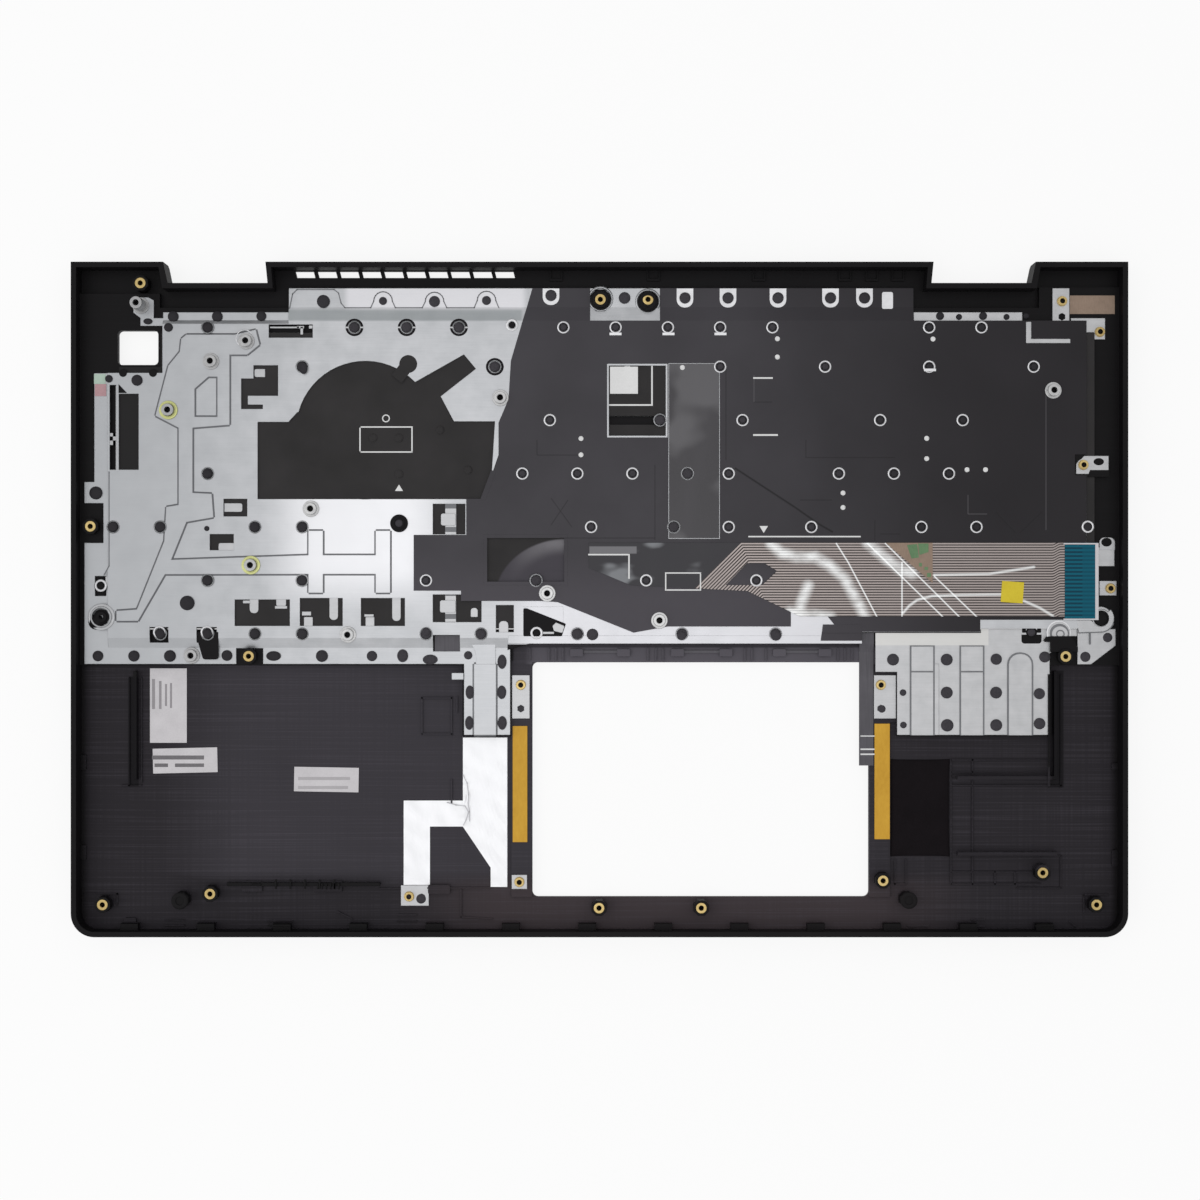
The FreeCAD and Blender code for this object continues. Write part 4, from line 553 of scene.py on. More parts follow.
# Painted shade: the film darkens towards the right
film.coat(right * 0.85, film.mix(film.noise(60, 2), tone(14, 11, 14), tone(34, 31, 35)))
film.coat(front, tone(72, 69, 75))
crease = film.limit(near_lines(film, list(zip(CREASE, CREASE[1:])), FILM_TOP, 0.5))
lines = film.limit(near_lines(film, FILM_LINES, FILM_TOP, 0.3))
glints = film.limit(near_lines(film, FILM_GLINTS, FILM_TOP, 0.25))
# Painted shade along the crease
film.coat(crease * 0.9, tone(8, 6, 8))
film.coat(lines * 0.5, tone(16, 14, 16))
film.coat(glints * 0.35, tone(120, 118, 122))
dents = waves * 3 + scuff * 0.15 - crease * 0.4 - lines * 0.2
bumps = film.relief(dents, 0.1, 0.15)
film.finish(0.34 + 0.12 * scuff, bumps, gloss=0.18)

WINDOW = ((486, 535.5), (567, 584.6))
ARC_MIDDLE = look_down(566, 600, SHEET_TOP)
ARC_RADII = (24.0, 20.5)
SHEET_LEFT = (-130, -150)
sheet = Finish("backlight_film")
bloom = sheet.noise(14, 3)
bumps = sheet.relief(sheet.noise(0.4), 0.008, 0.15)
sheet.shade = sheet.mix(bloom, tone(32, 31, 31), tone(54, 52, 53))
# Painted shade: darker at the left
sheet.coat(sheet.step(sheet.x, *SHEET_LEFT) * 0.8, tone(22, 21, 22))
across = (sheet.x - ARC_MIDDLE[0]) / ARC_RADII[0]
along = (sheet.y - ARC_MIDDLE[1]) / ARC_RADII[1]
reach = sheet.math("SQRT", across * across + along * along, 0.0)
# Painted glossy sheen inside the arc, and a painted highlight along its edge
inside = sheet.step(reach, 1.03, 0.99) * in_box(sheet, *WINDOW, SHEET_TOP, 0.2)
arc = inside * sheet.step(reach, 0.72, 0.97) * sheet.step(across, -0.9, -0.1)
sheet.coat(inside * 0.85, tone(72, 69, 76))
sheet.coat(arc * (0.2 + 0.6 * bloom), tone(150, 148, 152))
sheet.finish(0.5 + 0.1 * bloom, bumps, gloss=0.15)

membrane = Finish("membrane_film")
cloud = membrane.noise(9, 3)
bumps = membrane.relief(cloud, 0.05, 0.1)
membrane.shade = membrane.mix(cloud, tone(150, 156, 158), tone(186, 190, 190))
membrane.finish(0.3 + 0.1 * cloud, bumps)

base = Finish("base_aluminium")
brushed = base.noise(0.25, 2, (0.02, 1, 1))
bumps = base.relief(brushed, 0.01, 0.1)
base.shade = base.mix(brushed, tone(118, 118, 120), tone(160, 160, 162))
base.finish(0.35 + 0.1 * brushed, bumps, metal=0.9)
dress("film_black", "insulation_film")
dress("backlight_film", "backlight_sheet")
dress("membrane_film", "keyboard_membrane")
dress("base_aluminium", "keyboard_base_plate")

# %% [markdown]
# The ribbon is a clear film with some thirty silver tracks. They run level from the connector and
# turn down by 45 degrees near the middle, so the stripes follow one coordinate to the right of the
# turn and a turned one to the left of it. The turn line is the bisector of the two directions, which
# keeps every track unbroken. White streaks of painted highlight lie along its folds and glare lines.
# To the left of the last track the film is clear over dark, and glossy, with pale painted highlights.

# %% Ribbon
TRACK_PITCH = 2.63
TURN = look_down(742, 545, RIBBON_TOP)
ROOT_TOP = look_down(747, 537, RIBBON_TOP)
ROOT_FOOT = look_down(692.5, 590, RIBBON_TOP)
CONNECTOR_END = look_down(1058, 545, RIBBON_TOP)[0]
HALF_TURN = math.tan(math.radians(22.5))
PALE_BAND = ((590, 547), (636, 553))
FOLDS = [
    ((867, 543), (943, 617)), ((885, 543), (959.5, 617)), ((934, 576), (977, 617)),
    ((902, 562), (902, 617)), ((836, 543), (848, 562)), ((848, 562), (877, 617)),
]
GLARES = [
    [(934, 575), (989, 574), (1034, 567)],
    [(903, 613), (909, 606), (917, 600), (932, 596), (962, 595), (1001, 594.5), (1023, 600.5),
     (1040, 608), (1053, 616)],
]
BROAD_GLARES = [
    [(771, 543), (781, 553), (796, 557), (815, 557), (829, 565), (844, 578), (852, 592), (866, 618)],
    [(868, 543), (884, 557), (902, 570), (912, 574)], [(801, 604), (808, 586)], [(790, 612), (830, 617)],
]

ribbon = Finish("ribbon_film")
pitch = TRACK_PITCH * PIXEL_SLOPE * (CAMERA_HEIGHT - RIBBON_TOP)
down = TURN[1] - ribbon.y
slanted = ((ribbon.x - TURN[0]) + down) * math.sqrt(0.5)
left_of_turn = (ribbon.x - TURN[0] - down * HALF_TURN) < 0.0
jog = ribbon.step(ribbon.x, CONNECTOR_END - 2, CONNECTOR_END + 1) * 1.2
level = down * (1 - left_of_turn) + slanted * left_of_turn + jog
phase = ribbon.math("PINGPONG", level / pitch, 0.5) * 2
wear = ribbon.noise(12, 3)
track = ribbon.step(phase, 0.3, 0.55)
ribbon.shade = ribbon.mix(track, tone(30, 25, 25), tone(160, 150, 147))
ribbon.coat(ribbon.limit(wear * 0.5 - 0.15), tone(140, 132, 130))
# Painted highlights: white streaks along the folds and glare lines
streak = near_lines(ribbon, FOLDS, RIBBON_TOP, 0.36)
for path in GLARES:
    streak = streak + near_path(ribbon, path, RIBBON_TOP, 0.75) * 0.7
patchy = ribbon.noise(5, 2, (1, 2, 1))
for path in BROAD_GLARES:
    streak = streak + near_path(ribbon, path, RIBBON_TOP, 3.0) * (0.1 + 1.1 * patchy)
streak = ribbon.limit(streak)
ribbon.coat(streak, tone(246, 248, 248))
slope = (ROOT_TOP[0] - ROOT_FOOT[0]) / (ROOT_TOP[1] - ROOT_FOOT[1])
root = (ribbon.x - ROOT_FOOT[0] - (ribbon.y - ROOT_FOOT[1]) * slope) < 0.0
# Painted highlights in pale streaks over the clear root
gloss = ribbon.step(ribbon.noise(16, 2, (1, 2, 1)), 0.55, 0.68)
clear = ribbon.mix(gloss, tone(54, 53, 57), tone(128, 130, 134))
clear = ribbon.mix(in_box(ribbon, *PALE_BAND, RIBBON_TOP, 0.4) * 0.7, clear, tone(134, 133, 137))
ribbon.coat(root, clear)
bumps = ribbon.relief(track * (1 - root) + wear * 2, 0.03, 0.1)
metal = (1 - root) * track * 0.5
ribbon.finish(0.3 + 0.1 * wear, bumps, gloss=0.2, metal=metal)

stiffener = Finish("stiffener_teal")
fingers = stiffener.math("PINGPONG", stiffener.y / (pitch * 1.5), 0.5) * 2
edge = stiffener.step(stiffener.x, CONNECTOR_END + 8.2, CONNECTOR_END + 8.4)
stiffener.shade = stiffener.mix(stiffener.step(fingers, 0.4, 0.6), tone(0, 56, 74), tone(0, 92, 112))
stiffener.coat(edge * 0.6, tone(0, 84, 104))
bumps = stiffener.relief(fingers, 0.02, 0.1)
stiffener.finish(0.35 + 0.1 * stiffener.noise(5), bumps, gloss=0.15)

tail = Finish("tail_film")
haze = tail.noise(9, 3, (1, 0.3, 1))
tail.shade = tail.mix(haze, tone(44, 42, 46), tone(70, 68, 72))
tail.coat(tail.step(tail.noise(24, 2), 0.5, 0.62) * 0.35, tone(126, 125, 128))
bumps = tail.relief(haze, 0.08, 0.1)
tail.finish(0.22 + 0.15 * haze, bumps, gloss=0.3)
dress("ribbon_film", "keyboard_ribbon")
dress("stiffener_teal", "ribbon_stiffener")
dress("tail_film", "backlight_tail")

# %% [markdown]
# The small papers, tapes and rubbers follow. None of them is one even colour: paper has fibre and
# soft dirt at its edges, cloth tape has a fine weave, adhesive film goes darker where it is thick,
# and rubber has a dull bloom. They differ only in tones, grain and gloss, so one function makes them.

# %% Papers, tapes and rubbers
PAPER_EDGE = 0.05


def plain_sheet(name, light, dark, rough, grain_size, depth, stretch=(1, 1, 1), metal=0.0, gloss=0.2):
    made = Finish(name)
    grain = made.noise(grain_size, 3, stretch)
    cloud = made.noise(grain_size * 14, 2)
    made.shade = made.mix(made.limit(grain * 0.6 + cloud * 0.7 - 0.15), tone(*dark), tone(*light))
    bumps = made.relief(grain, depth, PAPER_EDGE)
    made.finish(rough + 0.15 * cloud, bumps, gloss=gloss, metal=metal)


plain_sheet("label_paper", (222, 219, 222), (192, 189, 192), 0.6, 0.4, 0.01)
plain_sheet("chip_white", (240, 240, 240), (212, 212, 212), 0.45, 0.5, 0.01)
plain_sheet("tape_tan", (164, 143, 127), (126, 108, 94), 0.55, 0.35, 0.03, (1, 0.25, 1))
plain_sheet("tape_pink", (205, 165, 170), (168, 132, 136), 0.5, 0.4, 0.02)
plain_sheet("tape_yellow", (228, 208, 62), (200, 176, 40), 0.4, 0.6, 0.02)
plain_sheet("adhesive_ochre", (222, 174, 62), (188, 138, 34), 0.34, 0.8, 0.03, (1, 0.4, 1))
plain_sheet("pad_rubber", (28, 24, 27), (14, 11, 13), 0.75, 0.35, 0.06, gloss=0.06)
plain_sheet("dome_rubber", (196, 196, 190), (160, 160, 154), 0.5, 0.8, 0.02)
plain_sheet("cable_black", (100, 98, 104), (66, 64, 69), 0.32, 0.5, 0.02, (1, 0.05, 1))
plain_sheet("key_plastic", (36, 35, 37), (22, 21, 23), 0.5, 0.25, 0.02)
plain_sheet("insert_brass", (214, 192, 132), (128, 104, 62), 0.24, 0.5, 0.02, (1, 1, 1), 0.9)
plain_sheet("foil_bright", (248, 248, 250), (234, 235, 238), 0.3, 3.0, 0.12, (1, 0.5, 1), 0.3)
dress("label_paper", "label_large", "label_medium", "label_small")
dress("chip_white", "backlight_driver")
dress("tape_tan", "conductive_tape", "ribbon_tape")
dress("tape_pink", "edge_tape")
dress("tape_yellow", "yellow_tape")
dress("adhesive_ochre", "adhesive_strips")
dress("dome_rubber", "rubber_domes")
dress("cable_black", "touchpad_cable")
dress("key_plastic", *[name for name in NODES if name.startswith("key_") or name.endswith("_keys")])

# %% [markdown]
# Everything that repeats is made with Geometry Nodes. A tree here is built from a few named sizes,
# run on a cloud of seed points that each carry a scale, and turned into one plain mesh. The helpers
# make trees, run them, and hand a finished piece to the frame. Two more turn built faces into meshes.

# %% Trees, seeds and pieces
class Maker(Graph):
    """A Geometry Nodes tree with named sizes in mm."""

    def __init__(self, name, sizes):
        super().__init__(bpy.data.node_groups.new(name, "GeometryNodeTree"))
        face = self.tree.interface
        face.new_socket("Geometry", in_out="INPUT", socket_type="NodeSocketGeometry")
        for label in sizes:
            face.new_socket(label, in_out="INPUT", socket_type="NodeSocketFloat")
        face.new_socket("Finish", in_out="INPUT", socket_type="NodeSocketMaterial")
        face.new_socket("Geometry", in_out="OUTPUT", socket_type="NodeSocketGeometry")
        self.start = self.tree.nodes.new("NodeGroupInput")

    def given(self, label):
        return Wire(self, self.start.outputs[label])

    def size(self, label):
        return self.given(label) * MM

    def along_z(self, value):
        return self.node("ShaderNodeCombineXYZ", None, {2: value})

    def moved(self, geometry, shift):
        return self.node("GeometryNodeTransform", None, {"Geometry": geometry, "Translation": shift})

    def joined(self, *parts):
        join = self.tree.nodes.new("GeometryNodeJoinGeometry")
        for part in parts:
            self.tree.links.new(part.socket, join.inputs[0])
        return Wire(self, join.outputs[0])

    def close(self, shape):
        """Put the shape on every seed, at the seed's own scale."""
        scale = self.node("GeometryNodeInputNamedAttribute", {"data_type": "FLOAT"}, {"Name": "scale"})
        sockets = {"Points": self.given("Geometry"), "Instance": shape, "Scale": scale}
        spread = self.node("GeometryNodeInstanceOnPoints", None, sockets)
        real = self.node("GeometryNodeRealizeInstances", None, {"Geometry": spread})
        sockets = {"Geometry": real, "Material": self.given("Finish")}
        coloured = self.node("GeometryNodeSetMaterial", None, sockets)
        self.node("NodeGroupOutput", None, {"Geometry": coloured})


def grow(name, maker, seeds, finish_name, **sizes):
    """Run a tree on seeds, each (x, y, z, scale) in mm, and keep a plain mesh."""
    cloud = bpy.data.meshes.new(name + "_seeds")
    cloud.from_pydata([(x * MM, y * MM, z * MM) for x, y, z, scale in seeds], [], [])
    scales = cloud.attributes.new("scale", "FLOAT", "POINT")
    for place, seed in enumerate(seeds):
        scales.data[place].value = seed[3]
    holder = add(name + "_seeds", cloud)
    modifier = holder.modifiers.new("maker", "NODES")
    modifier.node_group = maker.tree
    for item in maker.tree.interface.items_tree:
        if item.in_out == "INPUT" and item.name in sizes:
            modifier[item.identifier] = sizes[item.name]
        if item.name == "Finish":
            modifier[item.identifier] = Finish.made[finish_name]
    seen = holder.evaluated_get(bpy.context.evaluated_depsgraph_get())
    mesh = bpy.data.meshes.new_from_object(seen)
    bpy.data.objects.remove(holder)
    return mesh


def keep(name, mesh, slot, finish_name=None, instead_of=()):
    """Make a mesh a piece of the part, riding on the cover."""
    mesh.name = name
    if not mesh.materials:
        mesh.materials.append(Finish.made[finish_name or slot])
    made = add(name, mesh)
    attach(made, BODY)
    if instead_of:
        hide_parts(*instead_of)
    print(name, len(mesh.polygons), "faces")
    return made


def on_top(places):
    """Seeds on what carries some pixels."""
    return [(*spot(px, py), 1.0) for px, py in places]


def sow(name, maker, seeds, slot, finish_name=None, **sizes):
    """Grow a piece on seeds and keep it."""
    keep(name, grow(name, maker, seeds, finish_name or slot, **sizes), slot)


def as_mesh(name, build):
    """A mesh from what was built, with its faces turned outward."""
    bmesh.ops.recalc_face_normals(build, faces=build.faces)
    mesh = bpy.data.meshes.new(name)
    build.to_mesh(mesh)
    build.free()
    return mesh


def merged(name, meshes):
    """One mesh of several, as they are."""
    build = bmesh.new()
    for mesh in meshes:
        build.from_mesh(mesh)
    joint = bpy.data.meshes.new(name)
    build.to_mesh(joint)
    build.free()
    return joint


# %% [markdown]
# Heat stakes hold the plate and the film: plastic posts of the cover whose ends are melted into low
# round heads. The CAD has a six-sided post in each hole between the keys. Their places are read off
# its mesh, and each gets a head of three stacked cones, with the bright rim of the punched hole as a
# washer round it. Stakes along the flanges exist only here, so they are placed by pixel.

# %% Stake heads
STAKE_TOP = 5.8
HEAD_RADIUS = 1.55
HEAD_SINK = 0.75
FILM_HEAD = 0.92
PLATE_HEAD = 1.06
FLANGE_STAKES = [
    (98, 656, 5.3), (134, 656, 5.6), (170, 656, 5.9), (227, 655.5, 5.4), (322, 656, 6), (372, 656, 5.2),
    (426, 631.6, 4.3), (481, 634.3, 4.8), (468.2, 655.3, 4.2), (577, 634, 5.3), (592.5, 634.5, 5.8),
    (681.5, 635.5, 4.6), (776, 635.5, 5.2), (137.1, 380.3, 5.5), (109, 378.8, 3.8), (96, 493, 6.5),
    (323.5, 301.5, 6.5), (383, 301, 4), (434.5, 301.5, 5.5), (486.5, 300.5, 4.5), (168.5, 327.4, 4.4),
    (208.4, 327.7, 4.6), (173.3, 316.6, 5.4), (217.4, 316.6, 5.4), (261.4, 316.2, 5),
    (208.3, 473.7, 3.8), (206.8, 528.5, 2.6), (187.3, 603, 7.3), (893, 659.6, 5.9), (946.7, 659.6, 5.9),
    (996.2, 659.2, 5.6), (1044.7, 657, 5.5), (903, 692.6, 3.3), (946.7, 692.6, 5.9), (996, 692.6, 5.9),
    (1039.3, 693.7, 5.5), (903.4, 725, 3.3), (947.2, 725.3, 6.2), (996.2, 725.1, 5.9),
    (1039.5, 723.6, 5.7), (940, 316, 4), (959, 317, 3), (983, 316, 4), (1006.5, 317, 3), (1026, 316, 3),
    (1107.2, 637.5, 5.5), (1084.9, 656.8, 5.8), (421.2, 898.6, 5.3), (624.6, 298, 5.8),
    (881.6, 708.8, 4.9),
]
TAB_STAKES = [(551, 295.5), (685, 298), (728, 298), (778, 298), (830.5, 298), (864.5, 298)]


def span(points):
    """Lowest and highest corner of the box round some points."""
    lows = Vector([min(p[axis] for p in points) for axis in range(3)])
    return lows, Vector([max(p[axis] for p in points) for axis in range(3)])


def stake_places():
    """Middles of the CAD posts, from the corners of their top faces."""
    corners = [v.co / MM for v in NODES["palm_rest_cover"].data.vertices]
    tops = [corner for corner in corners if abs(corner.z - STAKE_TOP) < 0.02]
    groups = []
    for top in tops:
        for group in groups:
            if (group[0] - top).length < 2 * HEAD_RADIUS:
                group.append(top)
                break
        else:
            groups.append([top])
    boxes = [span(group) for group in groups]
    return [((low.x + high.x) / 2, (low.y + high.y) / 2) for low, high in boxes]


def pixel_of(x, y, z):
    """The pixel that shows a place in mm."""
    reach = PIXEL_SLOPE * (CAMERA_HEIGHT - z)
    return PIXEL_MIDDLE + x / reach, PIXEL_MIDDLE - y / reach


def nearest(places, px, py, z):
    """The one of some places in mm that is nearest to a pixel at height z."""
    x, y = look_down(px, py, z)
    return min(places, key=lambda place: math.hypot(place[0] - x, place[1] - y))


head = Maker("melted_head", ["Radius", "Height", "Skirt"])
radius, rise, skirt = head.size("Radius"), head.size("Height"), head.size("Skirt")
steps = [(1.0, 1.0, skirt, 0.0), (1.0, 0.86, rise * 0.5, skirt),
         (0.86, 0.5, rise * 0.5, skirt + rise * 0.5)]
cones = []
for low, high, depth, lift in steps:
    sockets = {"Vertices": 16, "Radius Bottom": radius * low, "Radius Top": radius * high, "Depth": depth}
    cones.append(head.moved(head.node("GeometryNodeMeshCone", None, sockets), head.along_z(lift)))
head.close(head.joined(*cones))

field = stake_places()
film_stakes = [place for place in field if on_film(*place)]
plate_stakes = [place for place in field if not on_film(*place)]
low_stakes = []
for px, py, pixels in FLANGE_STAKES:
    x, y, z = spot(px, py)
    low_stakes.append((x, y, z, pixels * PIXEL_SIDE / HEAD_RADIUS))
seeds = [(x, y, STAKE_TOP - HEAD_SINK, FILM_HEAD) for x, y in film_stakes]
seeds += [(x, y, STAKE_TOP - HEAD_SINK, PLATE_HEAD) for x, y in plate_stakes]
sow("stake_heads", head, seeds, "cover_plastic", "stake_plastic", Radius=HEAD_RADIUS, Height=0.3,
    Skirt=0.6)
sow("flange_stakes", head, low_stakes, "cover_plastic", "stake_plastic", Radius=HEAD_RADIUS, Height=0.35,
    Skirt=0.25)
print("stakes:", len(film_stakes), "on film,", len(plate_stakes), "on plate,", len(low_stakes),
      "on flanges")

# %% [markdown]
# Round the stakes, the press has left bright rims: narrow ones where the film has a hole, wider flat
# collars on the bare plate. A rim is a circle swept with a small rectangle. The bend of a swept
# circle keeps the section square, so its width stays level and its height upright.

# %% Punched rims
rim = Maker("punched_rim", ["Radius", "Width", "Height"])
circle = rim.node("GeometryNodeCurvePrimitiveCircle", None,
                  {"Resolution": 28, "Radius": rim.size("Radius")})
section = rim.node("GeometryNodeCurvePrimitiveQuadrilateral", None,
                   {0: rim.size("Width"), 1: rim.size("Height")})
rim.close(rim.node("GeometryNodeCurveToMesh", None, {"Curve": circle, "Profile Curve": section}))

RIM_REACH = 2.6
RIM_LIFT = 0.03
BESIDE = 8
WIDE_RIMS = [(244.8, 338.4)]
LOOSE_RING = look_down(1087.3, 526.8, SHEET_TOP)


def rim_height(x, y):
    """Height of the sheet round a stake: the highest of its four sides."""
    return max(height_at(*side) for side in four_sides(x, y, RIM_REACH)) + RIM_LIFT


seeds = [(x, y, rim_height(x, y), 1.0) for x, y in film_stakes] + [(*LOOSE_RING, FILM_TOP, 1.0)]
sow("film_rims", rim, seeds, "support_steel", "rim_steel", Radius=1.8, Width=0.62, Height=0.1)
seeds = [(x, y, rim_height(x, y), 1.0) for x, y in plate_stakes]
sow("plate_rims", rim, seeds, "support_steel", Radius=1.95, Width=0.6, Height=0.06)
seeds = []
for px, py in WIDE_RIMS:
    x, y, z = spot(px + BESIDE, py)
    seeds.append((x - BESIDE * PIXEL_SIDE, y, z, 1.0))
sow("pressed_rings", rim, seeds, "support_steel", "rim_steel", Radius=2.9, Width=0.35, Height=0.14)

# %% [markdown]
# Inserts, stand-offs and press nuts are turned parts: a flange, a body and a bore. The CAD holds them
# as plain faceted tubes with the right places and heights, which are read back here solid by solid.
# The finer parts replace them in view. Each is two swept rings with rounded sections.

# %% Turned parts
def solids_of(node):
    """Lowest and highest corner of each separate solid of a node, in mm."""
    build = bmesh.new()
    build.from_mesh(NODES[node].data)
    bmesh.ops.remove_doubles(build, verts=build.verts, dist=1e-6)
    seen, boxes = set(), []
    for first in build.verts:
        if first in seen:
            continue
        seen.add(first)
        queue, found = [first], []
        while queue:
            vert = queue.pop()
            found.append(vert.co / MM)
            for edge in vert.link_edges:
                other = edge.other_vert(vert)
                if other not in seen:
                    seen.add(other)
                    queue.append(other)
        boxes.append(span(found))
    build.free()
    return boxes


turned = Maker("turned_part", ["Bore", "Body", "Flange", "Height", "Rim", "Edge"])


def swept_ring(bore, outer, height):
    sockets = {"Resolution": 24, "Radius": (bore + outer) * 0.5}
    path = turned.node("GeometryNodeCurvePrimitiveCircle", None, sockets)
    flat = turned.node("GeometryNodeCurvePrimitiveQuadrilateral", None, {0: outer - bore, 1: height})
    sockets = {"Curve": flat, "Radius": turned.size("Edge"), "Limit Radius": True, "Count": 2}
    eased = turned.node("GeometryNodeFilletCurve", {"mode": "POLY"}, sockets)
    ring = turned.node("GeometryNodeCurveToMesh", None, {"Curve": path, "Profile Curve": eased})
    return turned.moved(ring, turned.along_z(height * 0.5))


bore = turned.size("Bore")
body = swept_ring(bore, turned.size("Body"), turned.size("Height"))
flange = swept_ring(bore, turned.size("Flange"), turned.size("Rim"))
turned.close(turned.joined(body, flange))


def turned_pieces(node, slot, finish_name, **sizes):
    """Put one kind of turned part in place of a node's solids, one height at a time."""
    heights = {}
    for low, high in solids_of(node):
        middle = (low + high) / 2
        heights.setdefault(round(high.z - low.z, 2), []).append((middle.x, middle.y, low.z, 1.0))
    parts = []
    for height, seeds in heights.items():
        parts.append(grow(node, turned, seeds, finish_name, Height=height, **sizes))
    mesh = merged(node, parts)
    for face in mesh.polygons:
        face.use_smooth = False
    mesh.materials.append(Finish.made[finish_name])
    return keep("turned_" + node, mesh, slot, instead_of=(node,))


turned_pieces("threaded_inserts", "insert_brass", "insert_brass",
              Bore=0.85, Body=1.85, Flange=1.6, Edge=0.15, Rim=0.4)
turned_pieces("plate_standoffs", "standoff_steel", "standoff_steel",
              Bore=1.0, Body=2.1, Flange=2.85, Edge=0.2, Rim=0.35)
turned_pieces("press_nuts", "insert_brass", "insert_brass",
              Bore=0.85, Body=1.6, Flange=1.75, Edge=0.12, Rim=0.25)

PLATED = [(251.4, 562.8), (165.7, 412.7)]
posts = [((low.x + high.x) / 2, (low.y + high.y) / 2) for low, high in solids_of("plate_standoffs")]
seeds = [(*nearest(posts, px, py, STAKE_TOP), RAISED_TOP, 1.0) for px, py in PLATED]
sow("plated_collars", turned, seeds, "standoff_steel", "plated_steel", Bore=2.12, Body=2.5, Flange=3.2,
    Height=0.6, Edge=0.12, Rim=0.42)

# %% [markdown]
# A threaded hole never shows plain darkness: its wall carries a fine thread, and low in it sits the
# black of the boss. A plug of dark plastic a little below the mouth closes each bore to the eye. Small
# collars of the cover's plastic stand round the two inserts of the rear tab.

# %% Bore plugs and collars
bores = solids_of("threaded_inserts") + solids_of("plate_standoffs") + solids_of("press_nuts")
seeds = [((low.x + high.x) / 2, (low.y + high.y) / 2, low.z, 1.0) for low, high in bores]
sow("bore_plugs", head, seeds, "cover_plastic", Radius=0.98, Height=0.1, Skirt=0.2)
COLLARS = [(600.5, 299), (648, 301.4)]
COLLAR_TOP = 6.0
seeds = [(*look_down(px, py, COLLAR_TOP), DECK_TOP, 1.0) for px, py in COLLARS]
sow("insert_collars", turned, seeds, "cover_plastic", Bore=1.95, Body=2.75, Flange=3.5, Height=2.45,
    Edge=0.2, Rim=0.9)
BOSS_DOMES = [(1101, 618.5, 2.9), (96.6, 622, 2.6)]
DOME_SINK = 0.02
seeds = []
for px, py, size in BOSS_DOMES:
    x, y, z = spot(px, py)
    seeds.append((x, y, z - DOME_SINK, size))
sow("boss_domes", head, seeds, "cover_plastic", Radius=1.0, Height=0.35, Skirt=0.3)
STUD = look_down(399, 523.3, PLATE_TOP + 0.4)
sow("plate_stud", turned, [(*STUD, PLATE_TOP, 1.0)], "cover_plastic", Bore=1.3, Body=2.1, Flange=3.05,
    Height=0.9, Edge=0.2, Rim=0.5)
seeds = [(*STUD, PLATE_TOP, 0.9), (*LOOSE_RING, SHEET_TOP, 0.9)]
sow("stud_cores", head, seeds, "cover_plastic", "stake_plastic", Radius=HEAD_RADIUS, Height=0.3,
    Skirt=0.7)

# %% [markdown]
# Flat shapes with an outline, such as steel tabs, printed marks and moulded ribs, are upright prisms
# on the face that carries them. One helper takes a list of outlines in pixels of the photograph and
# stands each on the highest solid under its middle. Round ends come from a corner rounding step.

# %% Prism helper
CORNER_STEPS = 5
SINK = 0.01


def outline_of(shape):
    """The corners of a shape, for which four numbers say an upright rectangle."""
    if not isinstance(shape[0], (int, float)):
        return shape
    x0, y0, x1, y1 = shape
    return [(x0, y0), (x1, y0), (x1, y1), (x0, y1)]


def rounded(shape, radii):
    """An outline with its corners rounded, each by its own radius in the same units."""
    points = outline_of(shape)
    eased = []
    for place, (x, y) in enumerate(points):
        radius = radii[place] if isinstance(radii, (list, tuple)) else radii
        if radius <= 0:
            eased.append((x, y))
            continue
        here = Vector((x, y))
        before = (Vector(points[place - 1]) - here).normalized()
        after = (Vector(points[(place + 1) % len(points)]) - here).normalized()
        half_angle = before.angle(after) / 2
        reach = radius / math.tan(half_angle)
        centre = here + (before + after).normalized() * (radius / math.sin(half_angle))
        start, end = here + before * reach - centre, here + after * reach - centre
        turn = math.atan2(start.x * end.y - start.y * end.x, start.dot(end))
        for step in range(CORNER_STEPS + 1):
            angle = turn * step / CORNER_STEPS
            arm = Vector((start.x * math.cos(angle) - start.y * math.sin(angle),
                          start.x * math.sin(angle) + start.y * math.cos(angle)))
            eased.append(tuple(centre + arm))
    return eased


def stand(shapes, thickness, base=None):
    """A mesh of prisms over outlines in pixels, each standing on what carries its middle."""
    build = bmesh.new()
    for shape in shapes:
        outline = outline_of(shape)
        middle_x = sum(p[0] for p in outline) / len(outline)
        middle_y = sum(p[1] for p in outline) / len(outline)
        foot = spot(middle_x, middle_y)[2] if base is None else base
        corners = [look_down(px, py, foot + thickness) for px, py in outline]
        low = [build.verts.new((x * MM, y * MM, (foot - SINK) * MM)) for x, y in corners]
        high = [build.verts.new((x * MM, y * MM, (foot + thickness) * MM)) for x, y in corners]
        build.faces.new(low)
        build.faces.new(high)
        for side in range(len(corners)):
            after = (side + 1) % len(corners)
            build.faces.new((low[side], low[after], high[after], high[side]))
    return as_mesh("prisms", build)


def lay(name, shapes, thickness, slot, finish_name=None, base=None):
    """Keep prisms over outlines as one piece."""
    keep(name, stand(shapes, thickness, base), slot, finish_name)


def stroke(points, width):
    """Outlines of the straight runs of a line, in pixels."""
    runs = []
    for (x0, y0), (x1, y1) in zip(points, points[1:]):
        length = math.hypot(x1 - x0, y1 - y0)
        ax, ay = (x1 - x0) / length * width / 2, (y1 - y0) / length * width / 2
        runs.append([(x0 - ax - ay, y0 - ay + ax), (x1 + ax - ay, y1 + ay + ax),
                     (x1 + ax + ay, y1 + ay - ax), (x0 - ax + ay, y0 - ay - ax)])
    return runs


